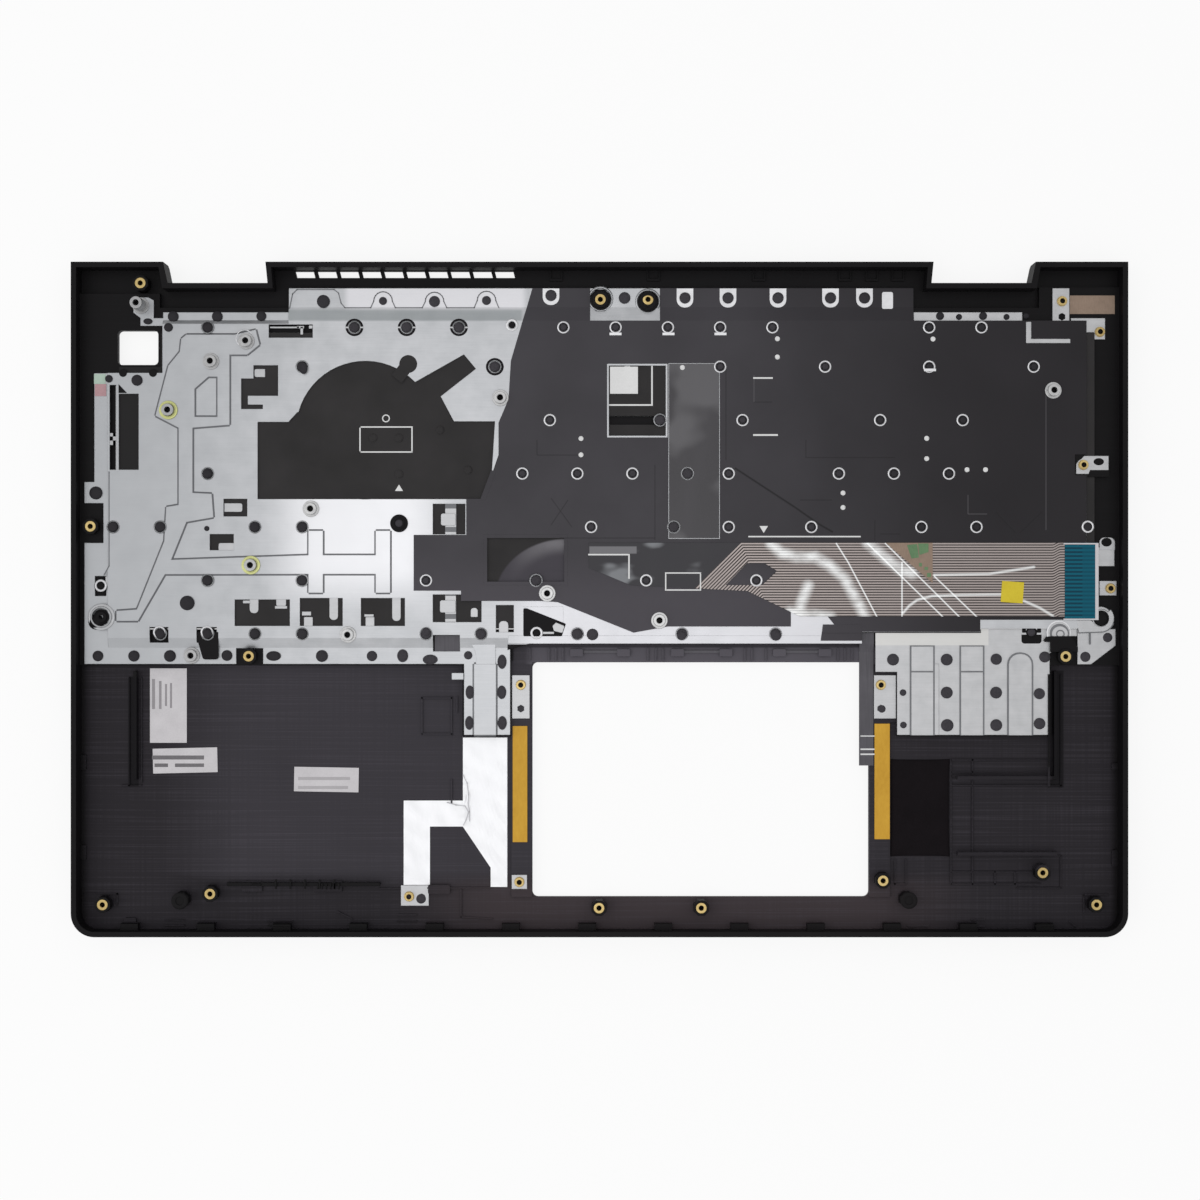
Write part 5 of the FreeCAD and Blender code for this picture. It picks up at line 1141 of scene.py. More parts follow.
# %% [markdown]
# Along the rear edge the steel comes through the film as round-ended tabs, each held by one stake.
# Next to some stakes on the film only half of the rim shows, closed by a straight bar like a letter D.
# Where a flange is narrow the melted stakes are oval, so they are prisms in two steps.

# %% Rear tabs, half rims and oval stakes
OVALS = [
    (273.5, 656, 7.4, 4.9), (402.6, 655.8, 5.5, 6.5), (430.2, 659.6, 7.5, 5), (469.7, 692.3, 4.2, 6.8),
    (501.7, 692.3, 4.6, 6.8), (469.2, 723, 4.2, 6.9), (502.2, 723, 4.6, 6.9), (502, 661.8, 4.6, 7.2),
    (147.8, 321.3, 4.5, 3), (303.5, 368.4, 4, 5.5), (521.2, 709.2, 5.2, 4.4),
]
OVAL_STEPS = 20


def oval(px, py, rx, ry):
    """An oval outline in pixels."""
    turns = [2 * math.pi * step / OVAL_STEPS for step in range(OVAL_STEPS)]
    return [(px + rx * math.cos(turn), py + ry * math.sin(turn)) for turn in turns]


lay("oval_stakes", [oval(*place) for place in OVALS], 0.3, "cover_plastic", "stake_plastic")
tops = [oval(px, py, rx * 0.7, ry * 0.7) for px, py, rx, ry in OVALS]
lay("oval_tops", tops, 0.42, "cover_plastic", "stake_plastic")
TAB_HALF = 8.3
TAB_REAR = 288.5
TAB_BASE = FLANGE_TOP + 0.2
tabs = []
for px, py in TAB_STAKES:
    foot = py + 9.5
    corners = (px - TAB_HALF, TAB_REAR, px + TAB_HALF, foot)
    tabs.append(rounded(corners, [0, 0, TAB_HALF - 0.5, TAB_HALF - 0.5]))
tabs.append(rounded((882, 292, 893, 309), 2))
lay("rear_tabs", tabs, 0.12, "support_steel", "rim_steel", base=TAB_BASE)
seeds = [(*look_down(px, py, RAISED_FLANGE), RAISED_FLANGE, 1.25) for px, py in TAB_STAKES]
sow("tab_stakes", head, seeds, "cover_plastic", "stake_plastic", Radius=HEAD_RADIUS, Height=0.3,
    Skirt=0.25)
HALF_RIMS = [(615.5, 328), (668.5, 328), (720.5, 328), (930, 364), (880, 418.7)]
bars = [(px - 6, py + 4.6, px + 6, py + 7.2) for px, py in HALF_RIMS]
lay("half_rims", bars, 0.1, "support_steel", "rim_steel")

# %% [markdown]
# White marks on the films are print: dots that show where a tool located, short bars and plain
# frames. They are kept as simple shapes, a few hundredths of a millimetre thick, so they lie on the
# film as ink does. The fan-shaped opening has a framed pair of bumps and a small triangle.

# %% White marks
DOTS = [
    (777.4, 338.8), (777.4, 357), (933, 339), (682.4, 367.5), (581, 438.5), (581, 454.8), (926.7, 438.4),
    (926.7, 458.6), (967, 469.7), (985.5, 469.7), (843, 493), (843, 507.5),
]
INK = 0.03
FRAMES = [(360, 427, 412, 452), (665.7, 573, 700.5, 590)]
marks = []
for frame_box in FRAMES:
    marks += stroke(outline_of(frame_box) + [frame_box[:2]], 1.3)
marks += stroke([(589, 554.6), (629, 554.6), (629, 578)], 1.6)
marks += stroke([(652, 364), (652, 405), (607, 405)], 1.6)
marks += stroke([(749, 536.6), (860, 536.6)], 1.4)
marks += stroke([(754, 378), (772, 378)], 1.6)
marks += stroke([(754, 435), (777, 435)], 1.8)
marks.append([(759.5, 526), (768, 526), (763.7, 533)])
marks.append([(395, 491), (403, 491), (399, 484.5)])
marks.append((624.5, 365.5, 630, 368))
lay("white_marks", marks, INK, "chip_white")
sow("white_dots", head, on_top(DOTS), "chip_white", Radius=0.85, Height=INK, Skirt=INK)
PRINT_RING = [(386, 418.4)]
sow("print_ring", rim, on_top(PRINT_RING), "chip_white", Radius=1.15, Width=0.4, Height=2 * INK)
BUMPS = [(373, 438), (399, 438), (399, 474), (468, 470), (440, 430)]
sow("sheet_bumps", head, on_top(BUMPS), "backlight_film", Radius=1.5, Height=0.2, Skirt=0.1)

# %% [markdown]
# The pressed stiffeners rise three tenths of a millimetre. The CAD steps up square, while a press
# leaves a slope. The step's own walls are found in the plate's mesh by their heights, and a thin
# wedge is laid against each one. The wedges lean away from the lamp and draw the fine grey outlines
# that the real plate shows; their darker grey is painted shade.

# %% Pressed slopes
SLOPE_REACH = 0.55


def wall_runs(z0, z1):
    """Top edges of the plate's upright walls between two heights, and the way each faces, in mm."""
    mesh = NODES["keyboard_support_plate"].data
    runs = []
    for face in mesh.polygons:
        if abs(face.normal.z) > 0.1:
            continue
        corners = [mesh.vertices[i].co / MM for i in face.vertices]
        top = [c for c in corners if abs(c.z - z1) < 0.01]
        foot = [c for c in corners if abs(c.z - z0) < 0.01]
        if len(top) == 2 and len(foot) == 1:
            runs.append((top[0], top[1], face.normal.copy()))
    return runs


def slopes(name, z0, z1):
    build = bmesh.new()
    for first, second, facing in wall_runs(z0, z1):
        out = Vector((facing.x, facing.y, 0)).normalized() * SLOPE_REACH
        ends = []
        for point in (first, second):
            high = Vector((point.x, point.y, z1))
            low = Vector((point.x, point.y, z0))
            ends.append([build.verts.new(p * MM) for p in (high, low, low + out)])
        build.faces.new(ends[0])
        build.faces.new(ends[1])
        for side in range(3):
            after = (side + 1) % 3
            build.faces.new((ends[0][side], ends[0][after], ends[1][after], ends[1][side]))
    keep(name, as_mesh(name, build), "support_steel", "pressed_steel")


slopes("plate_slopes", PLATE_TOP, RAISED_TOP)
slopes("strip_slopes", FLANGE_TOP, RAISED_FLANGE)

# %% [markdown]
# Along the rear flange the steel is pressed up between the stakes, which leaves an arch round each of
# them. The arches and the bend at the left edge are narrow ridges whose dull grey is painted shade.

# %% Flange arches
ARCH = 9.3
ARCH_FOOT = 307.7
ARCH_STAKES = [(383, 301), (434.5, 301.5), (486.5, 300.5)]
ARCH_STEPS = 10
ridge = [(289, 311), (292.5, 294), (297, 289.5), (334, 289.5), (338.5, 293), (341, 303), (345, ARCH_FOOT)]
for px, py in ARCH_STAKES:
    ridge.append((px - ARCH - 3, ARCH_FOOT))
    turns = [math.pi * (1 + step / ARCH_STEPS) for step in range(ARCH_STEPS + 1)]
    ridge += [(px + ARCH * math.cos(turn), py + ARCH * math.sin(turn)) for turn in turns]
    ridge.append((px + ARCH + 3, ARCH_FOOT))
BEND = [(109, 472), (109, 566), (104, 575)]
lay("flange_arches", stroke(ridge, 1.0), 0.12, "support_steel", "pressed_steel", base=FLANGE_TOP)
lay("side_bend", stroke(BEND, 1.0), 0.06, "support_steel", "pressed_steel", base=PLATE_TOP)

# %% [markdown]
# Many of the plate's cut-outs still hold a piece of it: tongues bent down, hooks, a ring round a
# stake, two springs. They are cut from the same sheet, so they are prisms of its thickness, set a
# little low where the tongue is bent. Each has its round end only where the real one does.

# %% Tongues, hooks and springs
TONGUE_BASE = SHEET_TOP - 0.25
TONGUE_DEPTH = 0.5
TONGUES = [
    ((224.4, 503.3, 242.3, 511.8), [0, 2, 2, 0]),
    ((218.6, 543, 234, 551.5), [2, 0, 0, 2]),
    ((249.7, 599, 258.4, 613.2), [0, 0, 4, 4]),
    ((276.3, 599, 286, 606), [0, 0, 1.5, 1.5]),
    ((304, 617, 312.7, 631), [1, 1, 0, 0]),
    ((329.5, 597, 338, 620), [0, 0, 4, 4]),
    ((392.2, 597, 400.7, 621), [0, 0, 4, 4]),
    ((365.6, 617, 374.3, 627), [1, 1, 0, 0]),
    ((499, 621, 508.3, 635), [4, 4, 0, 0]),
    ((470.8, 607.9, 477.7, 617), [3, 3, 1, 1]),
    ((254.5, 369, 265, 377), [2, 0, 0, 2]),
]
HOOKS = [
    (243, 600.5, 250, 603.3), (275, 606, 287, 608.6), (302, 611.6, 311, 615.5),
    (364.4, 614.3, 373.6, 616.7), (270, 326.6, 299, 328.2), (297, 326, 304, 328.4),
    (300.5, 327, 303, 334.5), (309, 325.5, 312.5, 328.5), (115.8, 385, 117.6, 470),
    (108.6, 433, 115.8, 436.5), (108.6, 440.5, 115.8, 445), (113, 433, 115.8, 445),
    (105.5, 576.5, 112, 586),
]
SPRINGS = [
    ((445.2, 503.5, 456.2, 535), (441, 513.5, 455.5, 525.5)),
    ((445.2, 591, 456, 622), (440, 600.3, 455.5, 612.5)),
]
CLIP_RIMS = [(159.2, 632), (206.8, 632), (100.7, 585.6), (536.6, 633), (512, 325)]
lay("bent_tongues", [rounded(points, radii) for points, radii in TONGUES], TONGUE_DEPTH, "support_steel",
    "bracket_steel", base=TONGUE_BASE)
lay("plate_hooks", HOOKS, 0.35, "support_steel", "bracket_steel", base=SHEET_TOP)
lay("spring_strips", [strip for strip, ear in SPRINGS], 0.3, "support_steel", "bracket_steel",
    base=SHEET_TOP)
lay("spring_ears", [rounded(ear, 2) for strip, ear in SPRINGS], 0.55, "support_steel", "bracket_steel",
    base=SHEET_TOP + 0.25)
bends = []
for (x0, y0, x1, y1), ear in SPRINGS:
    bends += [(x0, y0, x1, y0 + 5), (x0, y1 - 8, x1, y1 - 3)]
# The spring bends are painted darker as shade
lay("spring_bends", bends, 0.33, "support_steel", "pressed_steel", base=SHEET_TOP)
seeds = [(*look_down(px, py, PLATE_TOP), PLATE_TOP, 1.0) for px, py in CLIP_RIMS]
sow("clip_rims", rim, seeds, "support_steel", "rim_steel", Radius=1.75, Width=0.75, Height=0.3)
seeds = [(x, y, z - 0.4, 0.85) for x, y, z, scale in seeds]
sow("clip_stakes", head, seeds, "cover_plastic", Radius=HEAD_RADIUS, Height=0.3, Skirt=0.4)

# %% [markdown]
# At the right a steel saddle with a pressed bowl joins the ribbed bracket to the corner lug, and an
# arm of the lug curls round a boss. The bowl is a stack of thin discs, bright and dull in turn, which
# paint the light and shade of its curved wall; it is half hidden by a hook of the cover. Round the
# two inserts in the rear tab the sheet has round holes.

# %% Saddle, bowl and boss rings
BOSS = (1100.7, 618.4)
ARC_STEPS = 8


def boss_arc(reach, start, end):
    """Pixels on a circle round the boss, between two angles in degrees from the right, downwards."""
    turns = [math.radians(start + (end - start) * step / ARC_STEPS) for step in range(ARC_STEPS + 1)]
    return [(BOSS[0] + reach * math.cos(turn), BOSS[1] + reach * math.sin(turn)) for turn in turns]


RING_ARM = [(1077, 620.2), (1091, 620.2)] + boss_arc(8.6, 155, -40)
RING_ARM += boss_arc(13.4, -40, 95) + [(1079, 632.4)]
lay("ring_arm", [RING_ARM], 1.6, "bracket_steel", base=DECK_TOP)
ARM_SHADE = boss_arc(14.3, 20, 95) + [(1079, 633.4), (1079, 631.6)] + boss_arc(12.6, 95, 20)
lay("arm_shade", [ARM_SHADE, (1089.8, 633, 1091, 644.5)], 1.2, "bracket_steel", "pressed_steel",
    base=DECK_TOP)
seeds = [(*look_down(px, py, FLANGE_TOP), FLANGE_TOP + 0.02, 1.0) for px, py in COLLARS]
sow("tab_hole_rings", rim, seeds, "support_steel", Radius=3.95, Width=0.9, Height=0.14)
BOWL_DEPTH = 1.04
BOWL_STEP = 0.04
# Painted light and shade of the bowl: bright and dull discs in turn
BOWL = [
    (oval(1058.8, 632.8, 12.2, 12.2), "rim_steel"), (oval(1059, 633, 11.2, 11.2), "bracket_steel"),
    (oval(1059.5, 633.3, 9.8, 9.6), "pressed_steel"), (oval(1060, 633.8, 8, 7.6), "bracket_steel"),
    (oval(1060.4, 634, 4.4, 4.2), "pressed_steel"), (oval(1060.4, 634, 3.2, 3), "bracket_steel"),
]
for place, (outline, finish_name) in enumerate(BOWL):
    depth = BOWL_DEPTH + BOWL_STEP * place
    lay("saddle_bowl_%d" % place, [outline], depth, "bracket_steel", finish_name, base=FLANGE_TOP)
BOWL_HOOK = [
    (1044.5, 640.5), (1047, 637), (1051.5, 636.2), (1070.5, 636.2), (1075, 641), (1078, 647.5),
    (1078, 652), (1051, 652), (1051, 642), (1046, 642),
]
lay("bowl_hook", [BOWL_HOOK], 1.5, "cover_plastic", base=FLANGE_TOP)
lay("saddle_web", [(1041.5, 636, 1050.9, 652.8)], 0.52, "bracket_steel", base=DECK_TOP)
LEFT_BOSS = (101.5, 617)
BOSS_BASE = FLANGE_TOP + 0.1
seeds = [(*look_down(*BOSS, BOSS_BASE), BOSS_BASE, 1.0)]
seeds.append((*look_down(*LEFT_BOSS, PLATE_TOP), PLATE_TOP - 0.1, 1.15))
sow("large_bosses", turned, seeds, "bracket_steel", Bore=2.65, Body=3.2, Flange=4.0, Height=1.0, Edge=0.3,
    Rim=0.4)
seeds = [(x, y, z - 0.1, 1.0) for x, y, z, scale in seeds]
sow("boss_cores", turned, seeds, "cover_plastic", Bore=0.7, Body=2.0, Flange=2.7, Height=0.9, Edge=0.2,
    Rim=0.5)

# %% [markdown]
# Some small forms are drawn over the frame because the frame's own are simpler: the film's folded
# lip round the window and along the fan, the front edge of the plate, the deep channels of the ribbed
# bracket with their bright folded bar, and a few openings. Each is a thin sheet or a dark inlay.

# %% Lips, edges and channels
LIPS = [
    (483.6, 534.4, 567.7, 538), (483.6, 581.6, 567.7, 585.2), (483.6, 538, 487.2, 581.6),
    (564.1, 538, 567.7, 581.6), [(491, 470.5), (496.5, 470.5), (485.5, 500), (480, 500)],
    [(823, 624.5), (862, 624.5), (862, 633), (821.8, 633)],
]
lay("film_lips", LIPS, 0.02, "film_black", base=FILM_TOP)
lay("window_sheet", [(485, 571, 567, 585)], 0.32, "backlight_film", base=SHEET_TOP - 0.3)
EDGE_TOP = spot(700, 631)[2]
EDGE = [(508, 635.5, 862, 643.6)]
lay("plate_front_edge", EDGE, 0.52, "support_steel", base=EDGE_TOP - 0.5)
COVERED = [[(821.8, 632.5), (862, 632.5), (862, 640.8), (820.6, 640.8)]]
lay("covered_edge", COVERED, 0.05, "film_black", base=EDGE_TOP + 0.02)
CHANNELS = [
    (911.5, 646.5, 933.3, 671), (911.5, 672.4, 933.3, 735.3), (961.2, 646.5, 983, 671),
    (961.2, 672.4, 983, 735.3), rounded((1009, 654, 1031.8, 735.3), [10.5, 10.5, 0, 0]),
]
LANES = [
    (910, 645.5, 934.8, 735.3), (959.7, 645.5, 984.5, 735.3),
    rounded((1007.4, 652.4, 1033.4, 735.3), [12, 12, 0, 0]),
]
# The lanes round the channels are painted darker as the shade of their slopes
lay("bracket_slopes", LANES, 0.31, "bracket_steel", "pressed_steel", base=FLANGE_TOP)
lay("bracket_channels", CHANNELS, 0.34, "bracket_steel", base=FLANGE_TOP)
steel_sheet("bar_steel", (198, 197, 195), (182, 182, 181), 0.34, 8, 0.02)
BAR = [[(875.5, 633), (981, 633), (981, 618.5), (988.5, 618.5), (988.5, 645.4), (875.5, 645.4)]]
lay("bracket_bar", BAR, 0.06, "bracket_steel", "bar_steel", base=FLANGE_TOP)
NECK = [
    [(470.5, 642), (475, 651), (476, 657), (476, 664.5), (495.5, 664.5), (495.5, 642)],
    (451.8, 673, 463.5, 679.6),
]
lay("strip_neck", NECK, 0.32, "support_steel", base=FLANGE_TOP)
PATCH = [[(522.5, 606.5), (563.5, 606.5), (563.5, 630.5)]]
lay("cutout_web", PATCH, 0.03, "support_steel", base=PLATE_TOP)

# %% [markdown]
# Dark openings follow: the corner of the front edge, a spring slot that runs down over the flange, the
# three-cornered cut-out with its small ring and tongue, notches of the left strip, holes in the side
# tabs. Black inlays on the sheet read as openings, and what stands in an opening is steel again.

# %% Dark inlays
TAB_TOP = spot(1100, 465)[2]
FLUSH = 0.04
CLIP = (1031.6, 632.2)
INLAYS = [
    ([(507.5, 643.6), (532, 643.6), (507.5, 650)], RAISED_FLANGE),
    (rounded([(197, 632), (218.3, 632), (218.3, 659.5), (203, 659.5), (198, 642)], [0, 0, 3, 3, 0]),
     PLATE_TOP),
    (rounded([(523.3, 636.3), (523.3, 608.5), (527, 608.3), (566, 623.7), (561.8, 636.3)], 1.2),
     PLATE_TOP + 0.03),
    (rounded((1021.5, 634.6, 1041.6, 643.6), [0, 0, 3, 3]), FLANGE_TOP),
    (oval(123, 373, 4, 4), PLATE_TOP),
    (rounded((1022, 628.2, 1026, 632.8), 1), FLANGE_TOP),
    (rounded((1037, 628.2, 1041.2, 632.8), 1), FLANGE_TOP),
    (oval(153, 373, 4, 4), PLATE_TOP), (oval(*CLIP, 5.6, 5.4), FLANGE_TOP + 0.05),
    ([(118.5, 384), (127, 393), (118.5, 393)], PLATE_TOP),
    ([(1075, 454), (1086, 454), (1082, 458.5), (1078.5, 461), (1075, 466)], TAB_TOP),
    ([(1090, 470), (1109.5, 470), (1109.5, 477), (1087.5, 477)], TAB_TOP),
    (oval(1098.8, 461.7, 5.2, 3.6), TAB_TOP),
]
ROUND_OPENINGS = [(356.8, 328), (408.4, 328), (460.5, 328), (494.7, 369.6)]
open_posts = [pixel_of(*nearest(field, px, py, STAKE_TOP), PLATE_TOP) for px, py in ROUND_OPENINGS]
INLAYS += [(oval(px, py, 9, 8.8), PLATE_TOP) for px, py in open_posts]
inlays = [stand([outline], FLUSH, height) for outline, height in INLAYS]
keep("dark_inlays", merged("dark_inlays", inlays), "cover_plastic")
seeds = [(*look_down(*CLIP, FLANGE_TOP + 0.4), FLANGE_TOP + 0.05, 0.88)]
sow("clip_core", head, seeds, "cover_plastic", "stake_plastic", Radius=HEAD_RADIUS, Height=0.3, Skirt=0.1)
LOBE = [oval(408.2, 364, 9, 9)]
LOBE_NECK = stroke([(408.2, 364), (400.5, 374)], 13)
lay("fan_lobe", LOBE, FLUSH, "backlight_film", base=PLATE_TOP)
lay("fan_lobe_neck", LOBE_NECK, FLUSH - 0.01, "backlight_film", base=PLATE_TOP)
IN_OPENINGS = [
    rounded([(552.5, 626), (556, 622.5), (564.5, 626), (562.5, 633), (554, 631)], 1.2),
    (543, 631.8, 554, 634),
]
for px, py in open_posts[:3]:
    IN_OPENINGS += [(px - 9, py - 0.8, px - 5.6, py + 0.8), (px + 5.6, py - 0.8, px + 9, py + 0.8)]
lay("opening_steel", IN_OPENINGS, 0.3, "support_steel", "bracket_steel", base=PLATE_TOP - 0.15)
lay("slot_floor", [(434.8, 635.4, 460.8, 652.4)], 0.3, "cover_plastic", "cable_black", base=DECK_TOP)
lay("side_tab_end", [rounded((1099.5, 537.5, 1115, 550), [5, 5, 0, 0])], 0.52, "bracket_steel",
    base=DECK_TOP)
lay("side_tab_hole", [oval(1106.6, 542.2, 5.3, 4.4)], FLUSH, "cover_plastic", base=FLANGE_TOP + 0.02)

# %% [markdown]
# The palm floor is busy with low ribs, ticks and seats that the moulding tool left for the bottom
# cover. They are black on black, so only their edges show. Long ribs are strokes on the floor, and
# rows of like ticks come from a tree with a count and a pitch, as a toolmaker would set them out.

# %% Ribs and ticks of the cover
row = Maker("tick_row", ["Count", "Pitch", "Length", "Width", "Height"])
step_along = row.node("ShaderNodeCombineXYZ", None, {0: row.size("Pitch")})
line = row.node("GeometryNodeMeshLine", None, {"Count": row.given("Count"), "Offset": step_along})
sockets = {0: row.size("Width"), 1: row.size("Length"), 2: row.size("Height")}
tick_size = row.node("ShaderNodeCombineXYZ", None, sockets)
tick = row.node("GeometryNodeMeshCube", None, {"Size": tick_size})
ticks = row.node("GeometryNodeInstanceOnPoints", None, {"Points": line, "Instance": tick})
row.close(row.moved(ticks, row.along_z(row.size("Height") * 0.5)))

UPRIGHT_RIBS = [
    (129, 678, 786), (141.5, 678, 782), (1049, 675, 787), (1061, 675, 787), (951, 760, 884),
    (972.5, 760, 884), (995, 872, 884), (1015, 872, 884), (422, 698, 734), (451.5, 697, 735),
    (457, 697, 712), (451.5, 780, 803), (462, 660, 736), (1084, 895, 912), (461, 890, 917),
    (895, 860, 884), (906, 860, 884),
]
LEVEL_RIBS = [
    (785.5, 122, 141), (760, 952, 1050), (772, 952, 1050), (776, 952, 1050), (785.5, 952, 1061),
    (872, 952, 1040), (884, 952, 1040), (698, 422, 452), (734, 422, 452), (895, 1084, 1108),
    (885, 252, 260), (888.5, 380, 400), (888, 428, 490), (920, 165, 184), (925.5, 165, 184),
    (921, 268, 292), (925.5, 268, 290), (915, 398, 416), (921, 398, 416), (884, 895, 906),
    (926, 908, 928), (920, 972, 984), (926, 972, 984), (926, 1036, 1052),
]
BENT_RIBS = [
    [(1042, 856), (1061, 856), (1061, 888), (1018, 888)], [(84, 894), (117, 894), (117, 905)],
    [(461, 917), (492, 919)], [(338, 912), (352, 919)], [(1070, 922), (1080, 930)],
]
paths = [[(x, y0), (x, y1)] for x, y0, y1 in UPRIGHT_RIBS]
paths += [[(x0, y), (x1, y)] for y, x0, x1 in LEVEL_RIBS]
strokes = []
for path in paths + BENT_RIBS:
    strokes += stroke(path, 1.5)
lay("floor_ribs", strokes, 0.5, "cover_plastic")
CLIPS = [
    (242, 881, 262, 892), (313, 880.5, 342, 892), (428, 885, 450, 894), (76, 755, 86, 770),
    (80, 845, 86, 860), (124, 918, 136, 928), (1112, 763, 1122, 770), (1112, 850, 1120, 866),
]
lay("floor_clips", [rounded(clip, 1.5) for clip in CLIPS], 0.9, "cover_plastic")
ROWS = [(276, 884, 5, 14.5, 9, 0.6), (318, 886, 6, 4.2, 6, 0.5)]
for place, (px, py, count, pitch_px, length_px, width) in enumerate(ROWS):
    mesh = grow("front_ticks", row, on_top([(px, py)]), "cover_plastic", Count=count,
                Pitch=pitch_px * PIXEL_SIDE, Length=length_px * PIXEL_SIDE, Width=width, Height=0.6)
    keep("front_ticks_%d" % place, mesh, "cover_plastic")
LOCATORS = [(179.8, 901), (909, 900.5)]
sow("locator_rings", turned, on_top(LOCATORS), "cover_plastic", Bore=1.4, Body=2.7, Flange=2.9,
    Height=0.3, Edge=0.2, Rim=0.15)

# %% [markdown]
# The rear wall carries snap hooks, each a pair of thin cheeks with a bar between, and the strip
# behind the touchpad opening a row of shallow pockets between cross ribs.

# %% Rear hooks and pocket ribs
HOOK_PLACES = [556, 653.5, 759, 845, 872, 898]
hooks = []
for px in HOOK_PLACES:
    hooks += [(px + side - 0.75, 267.5, px + side + 0.75, 281) for side in (-5.75, 5.75)]
    hooks.append((px - 5, 278.5, px + 5, 281))
lay("rear_hooks", hooks, 0.6, "cover_plastic")
POCKET_LINES = [512.5, 530, 549, 556, 563, 648, 656, 663, 745, 752, 766, 838, 845, 852]
ribs = [(px - 0.6, 648, px + 0.6, 661) for px in POCKET_LINES]
lay("pocket_ribs", ribs, 0.7, "cover_plastic")
POCKET_HOOKS = [576.5, 623.5, 677.5, 726, 779.5, 825]
hooks = [rounded((px - 6.5, 649, px + 6.5, 656.5), 1) for px in POCKET_HOOKS]
lay("pocket_hooks", hooks, 0.9, "cover_plastic")
POCKET_BARS = [(583.5, 617), (684, 720), (786, 819)]
bars = [(x0, 650.5, x1, 653) for x0, x1 in POCKET_BARS]
lay("pocket_bars", bars, 0.5, "cover_plastic", "cable_black")

# %% [markdown]
# The soft pad in the right bay is foam with a rubbery skin, stuck to the floor. It is a crowned
# closed form: a grid of its plan is lifted in the middle, its edges are rolled over, and its sides
# pull in a little between the corners. It stays in the room that its CAD block holds.

# %% Foam pad
PAD_COLUMNS = 24
PAD_ROWS = 40
PAD_CROWN = 0.3
PAD_FALL = 0.3
PAD_PULL = 0.25
PAD_TAPER = (0.012, 0.008)
PAD_ROLL = 0.25


def crowned_pad(low, high):
    """A closed pad over a box: crowned top, rolled edges, flat underside."""
    build = bmesh.new()
    layers = []
    for level in (0, 1):
        grid = []
        for j in range(PAD_ROWS + 1):
            line = []
            for i in range(PAD_COLUMNS + 1):
                u, v = i / PAD_COLUMNS * 2 - 1, j / PAD_ROWS * 2 - 1
                pull_x = 1 - (1 - v ** 4) * PAD_PULL / (high.x - low.x) * 2 - level * PAD_TAPER[0]
                pull_y = 1 - (1 - u ** 4) * PAD_PULL / (high.y - low.y) * 2 - level * PAD_TAPER[1]
                x = (low.x + high.x) / 2 + u * pull_x * (high.x - low.x) / 2
                y = (low.y + high.y) / 2 + v * pull_y * (high.y - low.y) / 2
                edge = (1 - u ** 8) * (1 - v ** 8)
                top = high.z - PAD_CROWN + PAD_CROWN * (1 - (u * u + v * v) * PAD_FALL) * edge
                z = low.z if level == 0 else top - PAD_ROLL * (1 - edge)
                line.append(build.verts.new((x * MM, y * MM, z * MM)))
            grid.append(line)
        layers.append(grid)
    for grid in layers:
        for j in range(PAD_ROWS):
            for i in range(PAD_COLUMNS):
                build.faces.new((grid[j][i], grid[j][i + 1], grid[j + 1][i + 1], grid[j + 1][i]))
    rims = []
    for grid in layers:
        right, left = [line[-1] for line in grid[1:]], [line[0] for line in grid[-2:0:-1]]
        rims.append(grid[0] + right + grid[-1][-2::-1] + left)
    for place in range(len(rims[0])):
        after = (place + 1) % len(rims[0])
        build.faces.new((rims[0][place], rims[0][after], rims[1][after], rims[1][place]))
    mesh = as_mesh("foam_pad_soft", build)
    for face in mesh.polygons:
        face.use_smooth = True
    return mesh


pad_low, pad_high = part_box("foam_pad")
pad = keep("foam_pad_soft", crowned_pad(pad_low / MM, pad_high / MM), "pad_rubber",
           instead_of=("foam_pad",))

# %% [markdown]
# The ground foil is thin bright metal on cloth, laid over a step in the floor, so it is never flat.
# The CAD gives its outline. A copy of that outline's top is cut fine and moved up and down by slow
# waves, with a sharp crumple at the fold, and stands in for the flat solid.

# %% Ground foil
FOIL_CELLS = 9
FOIL_LOWEST = -0.08
FOIL_WAVES = (0.05, 0.04)
CRUMPLE_REACH = (1.6, 6.5)
CRUMPLE_HEIGHT = 0.5
CRUMPLE = look_down(466, 802, FLOOR_TOP + 0.2)
foil_build = bmesh.new()
foil_build.from_mesh(NODES["ground_foil"].data)
bmesh.ops.remove_doubles(foil_build, verts=foil_build.verts, dist=1e-6)
bmesh.ops.subdivide_edges(foil_build, edges=foil_build.edges, cuts=FOIL_CELLS, use_grid_fill=True)
bmesh.ops.triangulate(foil_build, faces=foil_build.faces)
bmesh.ops.subdivide_edges(foil_build, edges=foil_build.edges, cuts=1, use_grid_fill=True)
foil_low, foil_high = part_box("ground_foil")
for vert in foil_build.verts:
    x, y = vert.co.x / MM, vert.co.y / MM
    swell = FOIL_WAVES[0] * math.sin(x * 0.9 + 1.7 * math.sin(y * 0.35))
    swell += FOIL_WAVES[1] * math.sin(y * 0.8 + x * 0.5)
    fold = math.hypot((x - CRUMPLE[0]) / CRUMPLE_REACH[0], (y - CRUMPLE[1]) / CRUMPLE_REACH[1])
    swell += CRUMPLE_HEIGHT * math.exp(-fold * fold) * (0.6 + 0.4 * math.sin(y * 2.2))
    if vert.co.z > (foil_low.z + foil_high.z) / 2:
        vert.co.z += max(swell, FOIL_LOWEST) * MM
foil_mesh = as_mesh("foil_laid", foil_build)
keep("foil_laid", foil_mesh, "foil_bright", instead_of=("ground_foil",))

# %% [markdown]
# A few loose ends: the pale border of the connector, the green patch on the ribbon's tape, light
# lines on the touchpad cable, plain tinted fields on the labels, and folds of the foil.

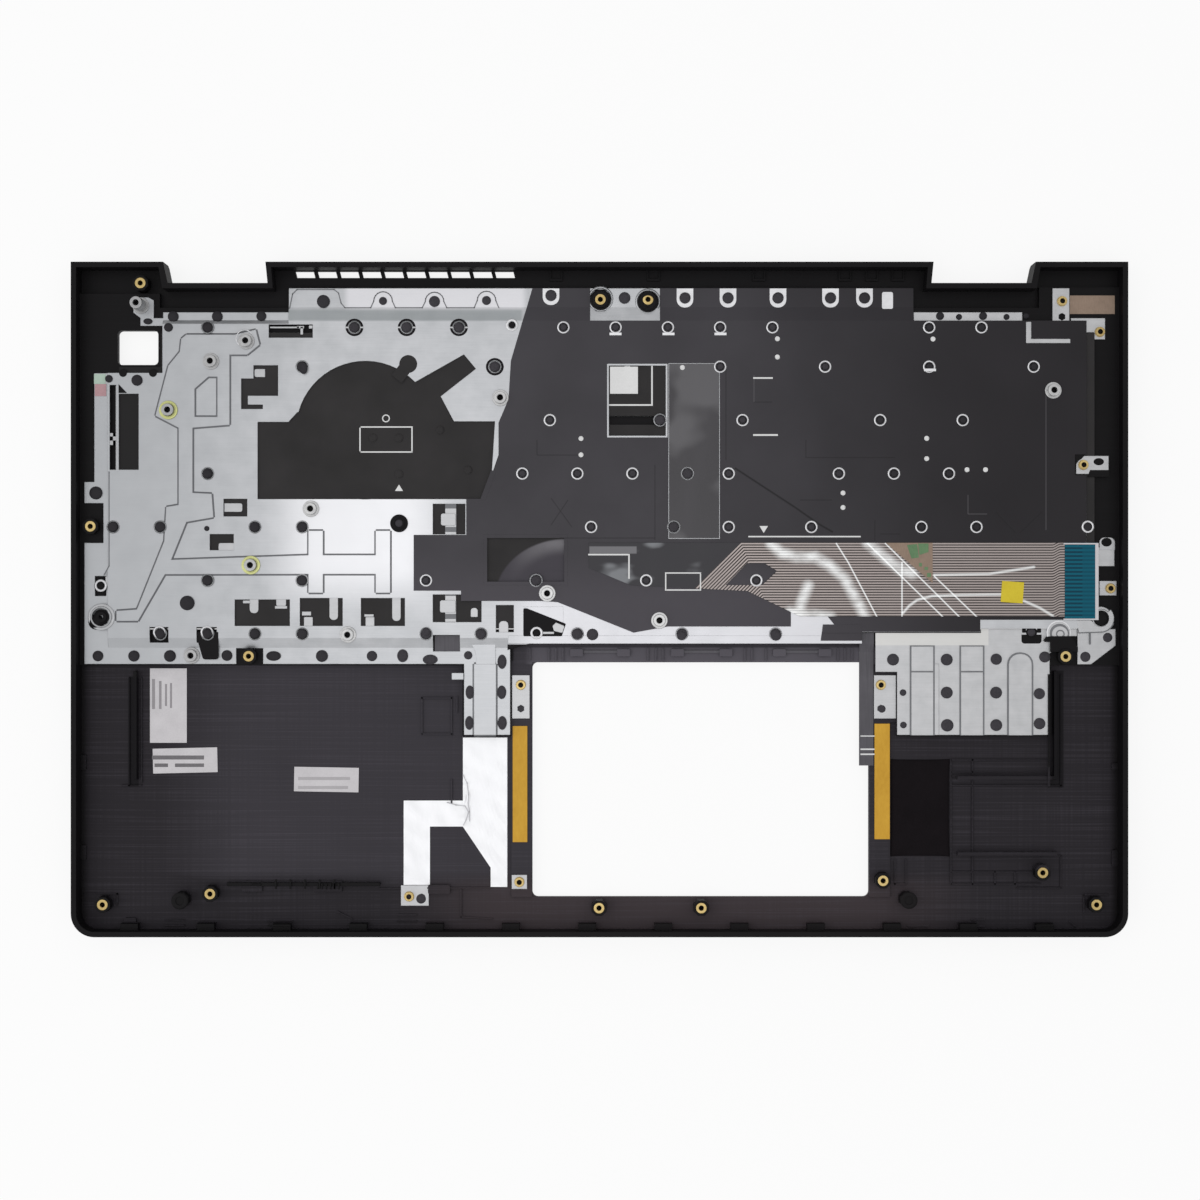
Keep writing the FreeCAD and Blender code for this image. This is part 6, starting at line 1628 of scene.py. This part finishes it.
# %% Borders, patches and fields
BORDER = [
    (1095.3, 543, 1098.6, 620), (1063.5, 543, 1095.3, 544.4), (1063.5, 618.6, 1095.3, 620),
]
stiffener_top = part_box("ribbon_stiffener")[1].z / MM
lay("connector_border", BORDER, 0.04, "label_paper", base=stiffener_top)
GREEN = [
    [(907, 545), (917, 544), (919, 557.5), (911.5, 558.5)],
    [(918, 543.5), (928.5, 543.5), (928.5, 552), (919.5, 555)],
    (919, 563, 922, 566.5), (924.5, 567, 928, 570), (927, 573, 931, 577),
]
plain_sheet("patch_green", (120, 150, 110), (84, 118, 86), 0.5, 0.6, 0.02, (1, 0.4, 1))
lay("tape_patch", GREEN, 0.04, "tape_tan", "patch_green")
PALE = [(94, 374, 105.5, 384)]
plain_sheet("patch_pale", (196, 214, 202), (166, 188, 172), 0.5, 0.6, 0.02)
lay("pale_patch", PALE, 0.05, "tape_pink", "patch_pale")
CABLE_MARKS = [(735.5, 736.6), (748.5, 750), (753.5, 755)]
CABLE_LINES = [(860.5, y0, 874.5, y1) for y0, y1 in CABLE_MARKS]
lay("cable_lines", CABLE_LINES, 0.03, "label_paper", "chip_white")
FIELDS = {
    "field_grey": [
        (152, 679, 155, 709), (159, 681, 161.5, 709), (165, 684, 167, 706),
        (170, 683, 172, 708),
    ],
    "field_dark": [(152, 755.5, 204, 759.5), (154.5, 763.5, 168, 767), (175, 763.5, 204, 767)],
    "field_faint": [(298, 777, 350, 780), (298, 786, 348, 789)],
}
plain_sheet("field_grey", (164, 160, 164), (140, 137, 140), 0.6, 0.5, 0.01)
plain_sheet("field_dark", (128, 125, 128), (100, 98, 101), 0.6, 0.5, 0.01)
plain_sheet("field_faint", (190, 187, 190), (170, 167, 170), 0.6, 0.5, 0.01)
for name, shapes in FIELDS.items():
    lay(name + "s", shapes, 0.02, "label_paper", name)
FOLDS_IN_FOIL = [
    [(463, 775), (467, 783), (468.6, 795), (468, 803), (469.6, 812), (469.6, 821)],
    [(447, 802.6), (456, 805), (465, 806), (468.5, 812), (466, 820), (463.5, 825)],
]
creases = []
for path in FOLDS_IN_FOIL:
    creases += stroke(path, 0.8)
plain_sheet("foil_shade", (212, 212, 215), (190, 190, 194), 0.4, 0.5, 0.01)
lay("foil_folds", creases, 0.45, "foil_bright", "foil_shade")

# %% [markdown]
# Last, the box is measured again, and how far it has grown past the CAD box is printed.

# %% Sizes and finish
low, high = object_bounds()
print("grown by", [round((a - b) / MM, 2) for a, b in zip(high - low, cad_high - cad_low)], "mm")
